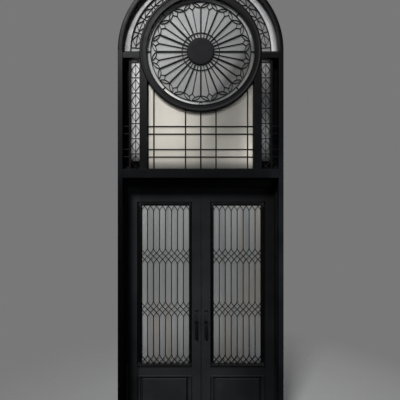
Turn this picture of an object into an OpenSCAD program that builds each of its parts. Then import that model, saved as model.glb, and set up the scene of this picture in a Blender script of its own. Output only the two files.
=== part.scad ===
// Arched iron entrance: a pair of glazed leaves under a transom, with a
// straight-barred main light, two side lights, a round wheel window and an
// arched border light above it.
//
// Millimetres. X runs across the opening, Y into the building, Z up.
// The origin is on the underside of the threshold, at the middle of the
// opening and of the frame's depth.

/* [Outer frame] */
// Overall width of the unit
unit_w = 1842; // [1830:1:1860]
// Depth of the outer frame, front to back
frame_d = 280; // [270:2:300]
// Face width of the jambs and of the arch head
casing_w = 53; // [50:1:56]
// Height of the centre of the wheel window and of the arch above the underside of the threshold
spring_z = 4245; // [4238:1:4252]
// Thickness of the threshold plate
threshold_t = 15; // [10:1:18]

// Radius of the wall anchor holes through the jambs
anchor_r = 5.5; // [4:0.5:7]

/* [Transom and mullions] */
// Underside of the transom beam
transom_z = 2826; // [2810:1:2830]
// Height of the transom beam
transom_h = 98; // [90:1:100]
// Distance of each mullion's centre line from the middle
mullion_x = 639; // [637:1:641]
// Face width of each mullion
mullion_w = 84; // [80:1:88]
// Depth of the mullions, spring bars and wheel ring
mullion_d = 120; // [100:2:140]
// How far their faces sit behind the frame's face
mullion_set = 8; // [6:1:12]
// Height of the two short bars at the spring line
spring_bar_h = 60; // [54:1:62]

/* [Wheel window] */
// Outer radius of the wheel's ring frame
ring_ro = 683; // [680:1:686]
// Inner radius of the ring frame
ring_ri = 601; // [597:1:604]
// Radius of the hub plate
hub_r = 156; // [150:1:160]
// Radius of the thin ring around the hub
collar_r = 210; // [204:1:216]
// Width of the main spokes
spoke_w = 17; // [14:1:20]
// Width of the thin spokes
thin_spoke_w = 10; // [8:1:12]
// Where the main spokes end and the petals start
spoke_end_r = 496; // [490:1:500]
// Where the thin spokes end
thin_end_r = 477; // [470:1:482]
// Centre radius of the rim bar
rim_r = 562; // [559:1:564]
// Angle from a main spoke to the tip of its petal, in degrees
petal_turn = 10.2; // [9.6:0.1:10.8]
// Width of a petal across its middle
petal_w = 32; // [26:1:36]

/* [Arched border light] */
// Centre radius of the bar between the plain strip and the ornament
divider_r = 787; // [784:1:792]
// Width of the dividing bars
divider_w = 12; // [10:1:14]
// Number of ornament cells round the arch
arch_cells = 13; // [11:1:15]
// Angle of the first cross bar above the spring line, in degrees
arch_start = 3.5; // [3:0.1:4]

/* [Side lights] */
// Distance of the ornament ribbon's outer edge from the middle
ribbon_edge = 781; // [778:1:786]
// Face width of the deep bar beside the ribbon
ribbon_bar_w = 23; // [18:1:28]
// Underside of the ribbon's pane, above the transom
ribbon_rise = 98; // [92:1:104]
// Rise of the sloping sill behind the ribbon and the outer strip
sill_rise = 62; // [50:1:70]
// Height of one ornament cell
cell_h = 171; // [170:0.1:173]
// Number of ornament cells in a side light
side_cells = 7; // [6:1:7]
// Half height of the diamond in a cell
diamond_h = 65; // [58:1:70]
// Width of the ornament bars
ornament_w = 10; // [8:1:11]

/* [Main light] */
// Width of the straight bars
bar_w = 14; // [12:1:16]
// Heights of the straight level bars
bar_z = [3063, 3147, 3320, 3405]; // [2950:1:3450]
// Distances of the upright bars from the middle
bar_x = [171, 526]; // [120:1:560]

/* [Leaves] */
// How far the leaves' faces sit behind the frame's face
leaf_set = 212; // [206:1:214]
// Thickness of a leaf
leaf_t = 60; // [56:1:60]
// Gap between the two leaves where they meet
meeting_gap = 12; // [12:1:14]
// Gap between a leaf and its jamb
jamb_gap = 5; // [5:1:7]
// Underside of the leaves
leaf_z0 = 23; // [21:1:26]
// Top of the leaves
leaf_z1 = 2744; // [2740:1:2746]
// Width of the hinge stile
hinge_stile_w = 110; // [106:1:112]
// Width of the meeting stile
meeting_stile_w = 102; // [100:1:106]
// Underside and top of the glazed opening
glazed_z = [634, 2568]; // [620:1:2580]
// Underside and top of the bottom panel
panel_z = [150, 528]; // [140:1:540]

/* [Grille] */
// Number of lancets across a leaf
lancets = 8; // [7:1:9]
// Pitch of the lancets
pitch = 70.5; // [70:0.1:71]
// Heights of the middles of the interlaced bands
band_z = [675, 1301, 1928, 2555]; // [665:0.5:2570]
// Half height of an interlaced band
band_h = 98; // [92:1:104]
// Width of the grille's bars
grille_w = 9; // [8:1:11]

/* [Hinges] */
// Heights of the hinges
hinge_z = [260, 980, 1700, 2440]; // [200:10:2600]
// Length of one hinge knuckle
knuckle_l = 50; // [44:2:56]
// Radius of the hinge knuckles
knuckle_r = 8; // [7:0.5:8]

/* [Hidden] */

iron = [0.10, 0.10, 0.11];
iron_dark = [0.07, 0.07, 0.08];
pane = [0.75, 0.76, 0.76, 0.6];

ro = unit_w / 2;             // outer half width, and outer radius of the arch
ri = ro - casing_w;          // clear half width, and inner radius of the arch
yf = -frame_d / 2;           // frame's front face
yb = frame_d / 2;            // frame's back face
my0 = yf + mullion_set;      // front of mullions and ring
my1 = my0 + mullion_d;       // back of mullions and ring
transom_top = transom_z + transom_h;
arch_z = spring_z;           // centre of the arch
spring_bar_z = spring_z - 83;
rose_z = spring_z;           // centre of the hub, spokes, petals and rim
light_z = spring_bar_z + spring_bar_h; // sill of the arched border light
gy0 = my0 + 42;              // upper panes
gy1 = gy0 + 10;
by0 = gy0 - 18;              // upper bars sit on the panes
by1 = gy0;
mi = mullion_x - mullion_w / 2;  // inner edge of a mullion
mo = mullion_x + mullion_w / 2;  // outer edge of a mullion

ly0 = yf + leaf_set;         // leaf's front face
ly1 = ly0 + leaf_t;          // leaf's back face
lx0 = meeting_gap / 2;       // leaf's meeting edge
lx1 = ri - jamb_gap;         // leaf's hinge edge
ox0 = lx0 + meeting_stile_w; // glazed opening, meeting side
ox1 = lx1 - hinge_stile_w;   // glazed opening, hinge side
lattice_w = lancets * pitch;
channel_w = 36;              // seal and glazing channel in the jambs
channel_d = 10;
dy0 = yf + 126;              // deep panes of the outer strips
dy1 = dy0 + 10;
hx = ri - 2;                 // hinge axis
hy = ly1 + 22;

// Anchor holes: depth and height of each, behind the leaves' edges and behind the upper panes.
anchors = [[102, 500], [102, 2300], [60, 3100], [60, 3900]];

// Stands a flat outline in the XZ plane up as a slab from y0 to y1.
module slab(y0, y1) {
  translate([0, y1, 0]) rotate([90, 0, 0]) linear_extrude(y1 - y0) children();
}

module block(x0, x1, y0, y1, z0, z1) {
  translate([x0, y0, z0]) cube([x1 - x0, y1 - y0, z1 - z0]);
}

module annulus(r0, r1) {
  difference() { circle(r = r1, $fn = 180); circle(r = r0, $fn = 180); }
}

module rect(x0, x1, z0, z1) { translate([x0, z0]) square([x1 - x0, z1 - z0]); }

// Unit normal of a path at point i.
function nrm(p, i) =
  let (a = p[max(i - 1, 0)], b = p[min(i + 1, len(p) - 1)], d = b - a, n = norm(d))
  [-d[1] / n, d[0] / n];

// A bar of constant width along a path.
module strip(p, w) {
  polygon(concat(
    [for (i = [0:len(p) - 1]) p[i] - nrm(p, i) * w / 2],
    [for (i = [len(p) - 1:-1:0]) p[i] + nrm(p, i) * w / 2]));
}

// A bar between two points, run on a little past both ends.
module bar(a, b, w, more = 0) {
  u = (b - a) / norm(b - a);
  n = [-u[1], u[0]] * w / 2;
  p = a - u * more;
  q = b + u * more;
  polygon([p + n, p - n, q - n, q + n]);
}

function polar(r, t) = [r * cos(t), r * sin(t)];

// ---------------------------------------------------------------- frame

module threshold() {
  color(iron_dark) block(-ri, ri, yf, yb, 0, threshold_t);
}

// A jamb, drilled through its face width for the wall anchors, with a channel
// down its inner face that takes the deep panes above and a seal below.
module jamb(s) {
  color(iron) difference() {
    block(s > 0 ? ri : -ro, s > 0 ? ro : -ri, yf, yb, 0, arch_z);
    block(s > 0 ? ri - 5 : -ri - channel_d, s > 0 ? ri + channel_d : -ri + 5, dy0, dy0 + channel_w,
          threshold_t, spring_z - 21);
    for (a = anchors) translate([s * (ri - 5), a[0], a[1]]) rotate([0, s * 90, 0])
      cylinder(r = anchor_r, h = casing_w + 10, $fn = 48);
  }
}

module arch_head() {
  color(iron)
  translate([0, 0, arch_z]) slab(yf, yb)
    difference() { annulus(ri, ro); rect(-ro - 5, ro + 5, -ro - 5, 0); }
}

module transom_beam() {
  color(iron) block(-ri, ri, yf, yb, transom_z, transom_top);
}

// Head member over the leaves.
module door_head() {
  color(iron_dark) block(-ri, ri, ly0 - 42, yb, leaf_z1 + 8, transom_z);
}

// Strips on the jambs and under the head that the leaves close against.
module door_stops() {
  color(iron_dark) {
    for (s = [-1, 1])
      block(s > 0 ? ri - 12 : -ri, s > 0 ? ri : -ri + 12, ly0 - 42, ly0 - 7, threshold_t, leaf_z1 - 9);
    block(-ri, ri, ly0 - 42, ly0 - 7, leaf_z1 - 8, leaf_z1 + 8);
  }
}

// Mullions, cut to the wheel's ring at their tops.
module mullions() {
  color(iron) for (s = [-1, 1]) difference() {
    block(s > 0 ? mi : -mo, s > 0 ? mo : -mi, my0, my1, transom_top, light_z);
    translate([0, my1 + 5, spring_z]) rotate([90, 0, 0])
      cylinder(r = ring_ro + 0.12, h = mullion_d + 10, $fn = 180);
  }
}

module spring_bars() {
  color(iron) for (s = [-1, 1]) difference() {
    block(s > 0 ? mo : -ri, s > 0 ? ri : -mo, my0, my1, spring_bar_z, light_z);
    translate([0, my1 + 5, spring_z]) rotate([90, 0, 0])
      cylinder(r = ring_ro, h = mullion_d + 10, $fn = 180);
  }
}

// ---------------------------------------------------------------- wheel window

// Ring frame with a stepped face: a raised outer lip, a sunk flat band and a low inner bead.
module wheel_ring() {
  color(iron) translate([0, my1, spring_z]) rotate([90, 0, 0])
    rotate_extrude($fn = 180) polygon([
      [ring_ri, 0], [ring_ro, 0], [ring_ro, mullion_d],
      [ring_ro - 19, mullion_d], [ring_ro - 33, mullion_d - 15],
      [ring_ri + 22, mullion_d - 15], [ring_ri + 7, mullion_d - 10], [ring_ri, mullion_d - 10]]);
}

module wheel_hub() {
  color(iron) translate([0, by0 - 2, rose_z]) rotate([90, 0, 0]) union() {
    translate([0, 0, -20]) cylinder(r = hub_r - 1, h = 22, $fn = 180);
    cylinder(r = hub_r - 9, h = 6, $fn = 180);
  }
}

module spoke_shape() {
  for (i = [0:15]) {
    rotate(i * 22.5) rect(hub_r - 1, spoke_end_r, -spoke_w / 2, spoke_w / 2);
    rotate(i * 22.5 + 11.25) rect(hub_r - 1, thin_end_r, -thin_spoke_w / 2, thin_spoke_w / 2);
  }
}

module wheel_spokes() {
  color(iron) translate([0, 0, rose_z]) slab(by0, by1) union() {
    spoke_shape();
    annulus(collar_r - 4.5, collar_r + 4.5);
  }
}

// Long axis of a petal: from the end of a main spoke out to the rim bar.
pa = [spoke_end_r, 0];
pb = polar(rim_r - 7, petal_turn);
pu = (pb - pa) / norm(pb - pa);
pn = [-pu[1], pu[0]];
function petal_pt(t, side) = pa + (pb - pa) * t + pn * (side * petal_w * 2 * t * (1 - t));
function flip(p, m) = m > 0 ? p : [for (i = [len(p) - 1:-1:0]) [p[i][0], -p[i][1]]];
// Short bars run from the end of a thin spoke to the undersides of two petals.
tie_a = polar(thin_end_r + 2, 11.25);
tie_b = petal_pt(0.6, 1);

module wheel_petals() {
  color(iron) translate([0, 0, rose_z]) slab(by0 + 4, by1) difference() {
    union() for (i = [0:15]) rotate(i * 22.5) for (m = [-1, 1]) {
      for (side = [-1, 1]) strip(flip([for (j = [0:6]) petal_pt(j / 6, side)], m), 8);
      strip(flip([tie_a, tie_b], m), 8);
    }
    spoke_shape();
    annulus(rim_r - 5, rim_r + 30);
  }
}

module wheel_rim() {
  color(iron) translate([0, 0, rose_z]) slab(by0 + 2, by1) union() {
    annulus(rim_r - 5, rim_r + 5);
    intersection() {
      union() for (i = [0:7]) rotate(i * 45) rect(rim_r, ring_ri + 20, -6, 6);
      circle(r = ring_ri - 0.1, $fn = 180);
    }
  }
}

module wheel_glass() {
  color(pane) translate([0, gy1, spring_z]) rotate([90, 0, 0])
    cylinder(r = ring_ri, h = gy1 - gy0, $fn = 180);
}

// ---------------------------------------------------------------- arched border light

arch_step = (180 - 2 * arch_start) / arch_cells;
rdi = divider_r - divider_w / 2;         // inner radius of the divider
// Cell coordinates to the plane: u along the arc, v from the ring (-1) to the divider (1).
function bent(t, u, v) =
  let (a = t + u / ((ring_ro + rdi) / 2) * 180 / PI, r0 = ring_ro + 1)
  polar(r0 + (rdi - 1 - r0) * (v + 1) / 2, a);

module arch_divider() {
  color(iron) translate([0, 0, arch_z]) slab(by0, by1) union() {
    difference() {
      annulus(rdi, divider_r + divider_w / 2);
      rect(-ro, ro, -ro, 0);
    }
    for (s = [-1, 1])
      rect(s * divider_r - divider_w / 2, s * divider_r + divider_w / 2, light_z - arch_z, 0);
  }
}

// One ornament cell's diamond, bent round the arch.
dm = diamond_h;
module arch_cell(t) {
  for (a = [-1, 1]) for (b = [-1, 1])
    strip(a * b > 0 ? [for (i = [0:4]) bent(t, a * dm * (1 - i / 4), b * i / 4)]
                    : [for (i = [4:-1:0]) bent(t, a * dm * (1 - i / 4), b * i / 4)], ornament_w - 3);
  strip([for (i = [0:6]) bent(t, -cell_h / 2 + cell_h * i / 6, 0)], ornament_w - 4);
}

module arch_ornament() {
  color(iron) translate([0, 0, arch_z]) slab(by0 + 7, by1) difference() {
    intersection() {
      union() {
        for (k = [0:arch_cells - 1]) arch_cell(arch_start + arch_step * (k + 0.5));
        for (k = [0:arch_cells]) rotate(arch_start + arch_step * k)
          rect(ring_ro - 4, divider_r, -ornament_w / 2 + 1, ornament_w / 2 - 1);
      }
      circle(r = rdi, $fn = 180);
    }
    circle(r = ring_ro, $fn = 180);
  }
}

module arch_glass() {
  color(pane) slab(gy0, gy1) difference() {
    translate([0, arch_z]) circle(r = ri, $fn = 180);
    translate([0, spring_z]) circle(r = ring_ro, $fn = 180);
    rect(-ro, ro, arch_z - ro, light_z);
  }
}

// ---------------------------------------------------------------- main light

module main_light_shape() {
  difference() {
    rect(-mi, mi, transom_top, spring_z);
    translate([0, spring_z]) circle(r = ring_ro, $fn = 180);
  }
}

module main_bars() {
  color(iron) slab(by0, by1) intersection() {
    union() {
      for (s = [-1, 1]) for (x = bar_x)
        rect(s * x - bar_w / 2, s * x + bar_w / 2, transom_top, spring_z);
      rect(-bar_w / 2 - 1, bar_w / 2 + 1, transom_top, spring_z);
      for (z = bar_z) rect(-mi, mi, z - bar_w / 2, z + bar_w / 2);
    }
    main_light_shape();
  }
}

module main_glass() {
  color(pane) slab(gy0, gy1) main_light_shape();
}

// ---------------------------------------------------------------- side lights

sdi = ribbon_edge;                      // ribbon's outer edge
sdo = ribbon_edge + ribbon_bar_w;       // outer strip's inner edge
smid = (sdi + mo) / 2;                  // ornament's centre line
shalf = (sdi - mo) / 2;
rz0 = transom_top + ribbon_rise;        // underside of the ribbon's pane
cells_z = transom_top + 5;              // underside of the lowest ornament cell

// The deep bar beside the ribbon, the shelf under its pane, the level bars that
// tie the deep bar to the jamb, and sloping sills that shed water forward.
module side_bars() {
  color(iron) for (s = [-1, 1]) side(s) union() {
    block(sdi, sdo, by0, dy0, transom_top, spring_bar_z);
    block(mo, sdi, gy0, dy0, rz0 - 10, rz0);
    for (z = bar_z) block(sdo - 1, ri, by0, by1, z - bar_w / 2, z + bar_w / 2);
    for (x = [[mo, sdi + 1], [sdo - 1, ri]])
      translate([x[0], 0, transom_top]) rotate([90, 0, 90]) linear_extrude(x[1] - x[0])
        polygon([[gy0 + 2, 0], [dy0, 0], [dy0, sill_rise]]);
  }
}

module side_cell(z) {
  w = shalf - 1;
  for (a = [-1, 1]) for (b = [-1, 1])
    bar([0, z + a * dm], [b * w, z], ornament_w - 3, 3);
  rect(-(ornament_w - 4) / 2, (ornament_w - 4) / 2, z - cell_h / 2, z + cell_h / 2);
}

module side_ornament() {
  color(iron) slab(by0 + 7, by1) for (s = [-1, 1]) translate([s * smid, 0]) intersection() {
    union() {
      for (k = [0:side_cells - 1]) side_cell(cells_z + cell_h * (k + 0.5));
      for (k = [1:side_cells])
        rect(-shalf, shalf, cells_z + cell_h * k - ornament_w / 2 + 1, cells_z + cell_h * k + ornament_w / 2 - 1);
    }
    rect(-shalf, shalf, transom_top, spring_bar_z);
  }
}

// Ribbon panes, just behind the ornament.
module side_glass() {
  color(pane) for (s = [-1, 1]) side(s) block(mo, sdi, gy0, gy1, rz0, spring_bar_z);
}

// Deep panes: the outer strips, and the low slot under each ribbon's shelf.
module strip_glass() {
  color([0.1, 0.1, 0.12]) for (s = [-1, 1]) side(s) slab(dy0, dy1)
    polygon([[mo, transom_top], [ri, transom_top], [ri, transom_top + 15], [ri + channel_d, transom_top + 15],
      [ri + channel_d, spring_bar_z], [sdi, spring_bar_z], [sdi, rz0], [mo, rz0]]);
}

// ---------------------------------------------------------------- leaves
// Each piece is drawn for the right leaf (x from lx0 to lx1) and mirrored for the left.

module side(s) { if (s > 0) children(); else mirror([1, 0, 0]) children(); }

module hinge_stile(s) { color(iron) side(s) block(ox1, lx1, ly0, ly1, leaf_z0, leaf_z1); }

module meeting_stile(s) { color(iron) side(s) block(lx0, ox0, ly0, ly1, leaf_z0, leaf_z1); }

module rails(s) {
  color(iron) side(s) {
    block(ox0, ox1, ly0, ly1, glazed_z[1], leaf_z1);
    block(ox0, ox1, ly0, ly1, panel_z[1], glazed_z[0]);
    block(ox0, ox1, ly0, ly1, leaf_z0, panel_z[0]);
  }
}

// Bottom panel: a plate with a raised field on both faces.
module panel(s) {
  m = 46;
  lm = (ly0 + ly1) / 2;
  color(iron) side(s) union() {
    block(ox0, ox1, lm - 6, lm + 6, panel_z[0], panel_z[1]);
    block(ox0 + m, ox1 - m, lm - 14, lm + 14, panel_z[0] + m, panel_z[1] - m);
    block(ox0 + m + 9, ox1 - m - 9, lm - 20, lm + 20, panel_z[0] + m + 9, panel_z[1] - m - 9);
  }
}

module frame_shape(x0, x1, z0, z1, wx, wz) {
  difference() {
    rect(x0, x1, z0, z1);
    rect(x0 + wx, x1 - wx, z0 + wz, z1 - wz);
  }
}

// Stepped mouldings round the panel, front and back.
module moulding(s) {
  lm = (ly0 + ly1) / 2;
  color(iron) side(s) for (m = [0, 1]) translate([0, m * 2 * lm, 0]) mirror([0, m, 0]) union() {
    slab(ly0 + 4, lm - 6) frame_shape(ox0, ox1, panel_z[0], panel_z[1], 26, 26);
    slab(ly0 + 14, lm - 6) frame_shape(ox0, ox1, panel_z[0], panel_z[1], 40, 40);
  }
}

sash_m = 34;      // cover of the sash frame beside the glass, meeting side
sash_h = 49;      // and hinge side
sash_b = 28;      // and below it
sash_t = 41;      // and above it
gr0 = ly0 + 8;    // grille, front
gr1 = ly0 + 24;   // grille, back, on the sash

module sash(s) {
  color(iron_dark) side(s) slab(gr1, gr1 + 26) difference() {
    rect(ox0, ox1, glazed_z[0], glazed_z[1]);
    rect(ox0 + sash_m, ox1 - sash_h, glazed_z[0] + sash_b, glazed_z[1] - sash_t);
  }
}

module leaf_glass(s) {
  color(pane) side(s)
    block(ox0 + sash_m, ox1 - sash_h, gr1 + 8, gr1 + 18, glazed_z[0] + sash_b, glazed_z[1] - sash_t);
}

// The lattice stands over the middle of the glass, inside a flat border.
gx0 = (ox0 + sash_m + ox1 - sash_h - lattice_w) / 2;
gz0 = glazed_z[0] + 6;
gz1 = glazed_z[1] - 6;
function bez(t, a, b, c, d) =
  a * pow(1 - t, 3) + 3 * b * t * pow(1 - t, 2) + 3 * c * t * t * (1 - t) + d * pow(t, 3);
function strand(x, z, dir) = [for (i = [0:10]) let (t = i / 10)
  bez(t, [x, z + band_h], [x, z + band_h * 0.44],
      [x + dir * 2 * pitch, z - band_h * 0.44], [x + dir * 2 * pitch, z - band_h])];

module band(z) {
  for (k = [-1:lancets - 1]) strip(strand(gx0 + k * pitch, z, 1), grille_w - 1);
  for (k = [1:lancets + 1]) strip(strand(gx0 + k * pitch, z, -1), grille_w - 1);
}

module grille(s) {
  color(iron) side(s) union() {
    slab(gr0, gr1) difference() {
      rect(ox0 + 10, ox1 - 15, gz0, gz1);
      rect(gx0, gx0 + lattice_w, gz0 + 14, gz1 - 14);
    }
    slab(gr0 + 3, gr0 + 12) intersection() {
      union() {
        for (z = band_z) band(z);
        for (k = [0:lancets]) for (j = [0:len(band_z) - 2])
          rect(gx0 + k * pitch - grille_w / 2, gx0 + k * pitch + grille_w / 2,
               band_z[j] + band_h - 2, band_z[j + 1] - band_h + 2);
      }
      rect(gx0 - 4, gx0 + lattice_w + 4, gz0 + 10, gz1 - 10);
    }
  }
}

// Entrance handle: a dead bolt above a slim plate with a thumb piece and a grip.
px = lx0 + 51;    // centre line of the handle
module handle_face() {
  // dead bolt
  translate([px, ly0, 1295]) rotate([90, 0, 0]) cylinder(r = 21, h = 8, $fn = 64);
  translate([px, ly0 - 8, 1295]) rotate([90, 0, 0]) cylinder(r = 15, h = 5, $fn = 64);
  // plate
  block(px - 23, px + 23, ly0 - 6, ly0, 948, 1266);
  // thumb piece
  block(px - 21, px + 21, ly0 - 30, ly0 - 6, 1165, 1175);
  // grip: two posts and an upright bar
  block(px - 12, px + 12, ly0 - 40, ly0 - 6, 1128, 1152);
  block(px - 12, px + 12, ly0 - 40, ly0 - 6, 966, 990);
  block(px - 12, px + 12, ly0 - 58, ly0 - 40, 966, 1152);
}

module handle(s) {
  lm = (ly0 + ly1) / 2;
  color(iron_dark) side(s) {
    union() handle_face();
    translate([0, 2 * lm, 0]) mirror([0, 1, 0]) union() handle_face();
  }
}

// ---------------------------------------------------------------- hinges

module leaf_hinges(s) {
  color(iron) side(s) for (z = hinge_z) translate([0, 0, z]) difference() {
    union() {
      translate([hx, hy, -knuckle_l / 2]) cylinder(r = knuckle_r, h = knuckle_l, $fn = 48);
      block(hx - 12, hx, ly1, hy, -knuckle_l / 2, knuckle_l / 2);
      block(hx - 62, hx - 8, ly1, ly1 + 4, -knuckle_l / 2, knuckle_l / 2);
    }
    translate([hx, hy, -knuckle_l]) cylinder(r = 4.05, h = 2 * knuckle_l, $fn = 48);
  }
}

// Two knuckles above and below each of the leaf's, with their pin, on a plate on the jamb.
module frame_hinges() {
  color(iron) for (s = [-1, 1]) side(s) for (z = hinge_z) translate([0, 0, z]) union() {
    for (m = [0, 1]) mirror([0, 0, m]) {
      translate([hx, hy, knuckle_l / 2 + 1]) cylinder(r = knuckle_r, h = knuckle_l, $fn = 48);
      block(hx, hx + 10, yb, hy, knuckle_l / 2 + 1, knuckle_l * 1.5 + 1);
    }
    translate([hx, hy, -knuckle_l * 1.5 - 1]) cylinder(r = 4, h = 3 * knuckle_l + 2, $fn = 48);
    block(hx + 6, ro - 5, yb, yb + 5, -knuckle_l * 1.5 - 1, knuckle_l * 1.5 + 1);
  }
}

threshold();
jamb(-1);  // left_jamb
jamb(1);  // right_jamb
arch_head();
transom_beam();
door_head();
door_stops();
frame_hinges();
mullions();
spring_bars();
wheel_ring();
wheel_hub();
wheel_spokes();
wheel_petals();
wheel_rim();
wheel_glass();
arch_divider();
arch_ornament();
arch_glass();
main_bars();
main_glass();
side_bars();
side_ornament();
side_glass();
strip_glass();
hinge_stile(-1);  // left_hinge_stile
meeting_stile(-1);  // left_meeting_stile
rails(-1);  // left_rails
panel(-1);  // left_panel
moulding(-1);  // left_moulding
sash(-1);  // left_sash
leaf_glass(-1);  // left_glass
grille(-1);  // left_grille
handle(-1);  // left_handle
leaf_hinges(-1);  // left_hinges
hinge_stile(1);  // right_hinge_stile
meeting_stile(1);  // right_meeting_stile
rails(1);  // right_rails
panel(1);  // right_panel
moulding(1);  // right_moulding
sash(1);  // right_sash
leaf_glass(1);  // right_glass
grille(1);  // right_grille
handle(1);  // right_handle
leaf_hinges(1);  // right_hinges
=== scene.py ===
"""Looks for the arched iron double door: finishes, forged bars, mouldings, glass and fittings."""

import math

import bpy
import bmesh
from mathutils import Matrix, Vector


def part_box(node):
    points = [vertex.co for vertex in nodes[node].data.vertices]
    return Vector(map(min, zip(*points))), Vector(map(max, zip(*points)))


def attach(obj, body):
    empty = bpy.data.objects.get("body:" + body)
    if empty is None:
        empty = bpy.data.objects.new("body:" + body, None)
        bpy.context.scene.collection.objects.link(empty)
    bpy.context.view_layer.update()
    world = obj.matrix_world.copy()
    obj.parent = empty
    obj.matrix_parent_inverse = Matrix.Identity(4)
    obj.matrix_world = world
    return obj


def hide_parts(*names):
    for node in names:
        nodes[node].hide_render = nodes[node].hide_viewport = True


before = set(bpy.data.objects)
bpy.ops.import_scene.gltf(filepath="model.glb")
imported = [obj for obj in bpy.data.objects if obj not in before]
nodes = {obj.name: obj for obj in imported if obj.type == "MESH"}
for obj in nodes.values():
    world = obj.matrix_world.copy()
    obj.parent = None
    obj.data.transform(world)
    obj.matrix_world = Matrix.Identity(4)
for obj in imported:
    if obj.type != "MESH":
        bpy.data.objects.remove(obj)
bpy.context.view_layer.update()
MM = 0.001
PI = math.pi


def span(node):
    """Lowest and highest corner of a CAD node, in millimetres."""
    a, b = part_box(node)
    return [v * 1000 for v in a], [v * 1000 for v in b]


# ------------------------------------------------------------------ key planes, in millimetres
_jl, _jh = span("right_jamb")
RI, RO = _jl[0], _jh[0]                      # clear half width and outer half width
YF, YB = _jl[1], _jh[1]                      # frame's faces
AZ = _jh[2]                                  # centre of the arch
_ul, _uh = span("wheel_hub")
RX, RZ = (_ul[0] + _uh[0]) / 2, (_ul[2] + _uh[2]) / 2   # centre of the spoked rose
_rl, _rh = span("wheel_ring")
WX, WZ = (_rl[0] + _rh[0]) / 2, (_rl[2] + _rh[2]) / 2
RRO = (_rh[0] - _rl[0]) / 2                  # wheel ring, outer radius
MY0, MY1 = _rl[1], _rh[1]                    # mullion and ring faces
_gl, _gh = span("wheel_glass")
RRI = (_gh[0] - _gl[0]) / 2                  # wheel ring, inner radius
GY0, GY1 = _gl[1], _gh[1]                    # upper panes
_tl, _th = span("transom_beam")
TZ, TT = _tl[2], _th[2]
_sl, _sh = span("spring_bars")
SB0, SB1 = _sl[2], _sh[2]
MI = span("main_glass")[1][0]
MO = span("mullions")[1][0]
BY0, BY1 = GY0 - 18, GY0                     # upper bars
_dl, _dh = span("arch_divider")
DIVW = 12
DIVR = _dh[0] - DIVW / 2
_bl, _bh = span("side_bars")
_ol, _oh = span("side_ornament")
SDI = _oh[0]                                 # ribbon's outer edge
RIBW = 23
SDO = SDI + RIBW
_pl, _ph = span("side_glass")
RZ0 = _pl[2]                                 # underside of the ribbon's pane
DY0, DY1 = span("strip_glass")[0][1], span("strip_glass")[1][1]

_hl, _hh = span("right_hinge_stile")
_ml, _mh = span("right_meeting_stile")
LY0, LY1, LZ0, LZ1 = _hl[1], _hh[1], _hl[2], _hh[2]
LX0, OX0, OX1, LX1 = _ml[0], _mh[0], _hl[0], _hh[0]
_qa, _qb = span("right_sash")
GLZ0, GLZ1 = _qa[2], _qb[2]                  # glazed opening
_na, _nb = span("right_panel")
PZ0, PZ1 = _na[2], _nb[2]
LM = (LY0 + LY1) / 2
_ca, _cb = span("right_glass")
CX0, CX1, CZ0, CZ1, CY0, CY1 = _ca[0], _cb[0], _ca[2], _cb[2], _ca[1], _cb[1]
LANCETS, PITCH = 8, 70.5
GX0 = (CX0 + CX1) / 2 - LANCETS * PITCH / 2  # the lattice stands over the middle of the glass
GX1 = GX0 + LANCETS * PITCH
_ga, _gb = span("right_grille")
GB0, GB1 = _ga[0], _gb[0]                    # outer edges of the grille's border
GZ0, GZ1, GR0, GR1 = _ga[2], _gb[2], _ga[1], _gb[1]
BANDS = [675, 1301, 1928, 2555]
BAND_H = 98
HZ = [260, 980, 1700, 2440]
HX, HY = RI - 2, LY1 + 22

BAR_X = [171, 526]
BAR_Z = [3063, 3147, 3320, 3405]
BAR_W = 14
CELL_H, DIAMOND_H = 171, 65
CELLS_Z = TT + 5                             # underside of the lowest side cell


# ------------------------------------------------------------------ materials
def clear_nodes(name):
    m = bpy.data.materials.new(name)
    m.use_nodes = True
    nt = m.node_tree
    nt.nodes.clear()
    out = nt.nodes.new("ShaderNodeOutputMaterial")
    bs = nt.nodes.new("ShaderNodeBsdfPrincipled")
    nt.links.new(bs.outputs[0], out.inputs[0])
    return m, nt, bs


def noise(nt, vec, scale, detail=3.0, rough=0.5, stretch=None, dist=0.0):
    n = nt.nodes.new("ShaderNodeTexNoise")
    n.inputs["Scale"].default_value = scale
    n.inputs["Detail"].default_value = detail
    n.inputs["Roughness"].default_value = rough
    n.inputs["Distortion"].default_value = dist
    if stretch:
        mp = nt.nodes.new("ShaderNodeMapping")
        mp.inputs["Scale"].default_value = stretch
        nt.links.new(vec, mp.inputs[0])
        vec = mp.outputs[0]
    nt.links.new(vec, n.inputs["Vector"])
    return n.outputs["Fac"]


def ramp(nt, fac, lo, hi, a=0.3, b=0.7):
    r = nt.nodes.new("ShaderNodeMapRange")
    r.inputs["From Min"].default_value = a
    r.inputs["From Max"].default_value = b
    r.inputs["To Min"].default_value = lo
    r.inputs["To Max"].default_value = hi
    nt.links.new(fac, r.inputs["Value"])
    return r.outputs["Result"]


def mixc(nt, fac, a, b):
    m = nt.nodes.new("ShaderNodeMix")
    m.data_type = "RGBA"
    for s, v in ((m.inputs[6], a), (m.inputs[7], b)):
        if isinstance(v, tuple):
            s.default_value = (*v, 1)
        else:
            nt.links.new(v, s)
    if isinstance(fac, float):
        m.inputs[0].default_value = fac
    else:
        nt.links.new(fac, m.inputs[0])
    return m.outputs[2]


def math2(nt, op, a, b=None, c=None):
    m = nt.nodes.new("ShaderNodeMath")
    m.operation = op
    for i, v in enumerate((a, b, c)):
        if v is None:
            continue
        if isinstance(v, (int, float)):
            m.inputs[i].default_value = v
        else:
            nt.links.new(v, m.inputs[i])
    return m.outputs[0]


def bump(nt, height, strength, distance, normal=None):
    b = nt.nodes.new("ShaderNodeBump")
    b.inputs["Strength"].default_value = strength
    b.inputs["Distance"].default_value = distance
    nt.links.new(height, b.inputs["Height"])
    if normal is not None:
        nt.links.new(normal, b.inputs["Normal"])
    return b.outputs[0]


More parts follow.
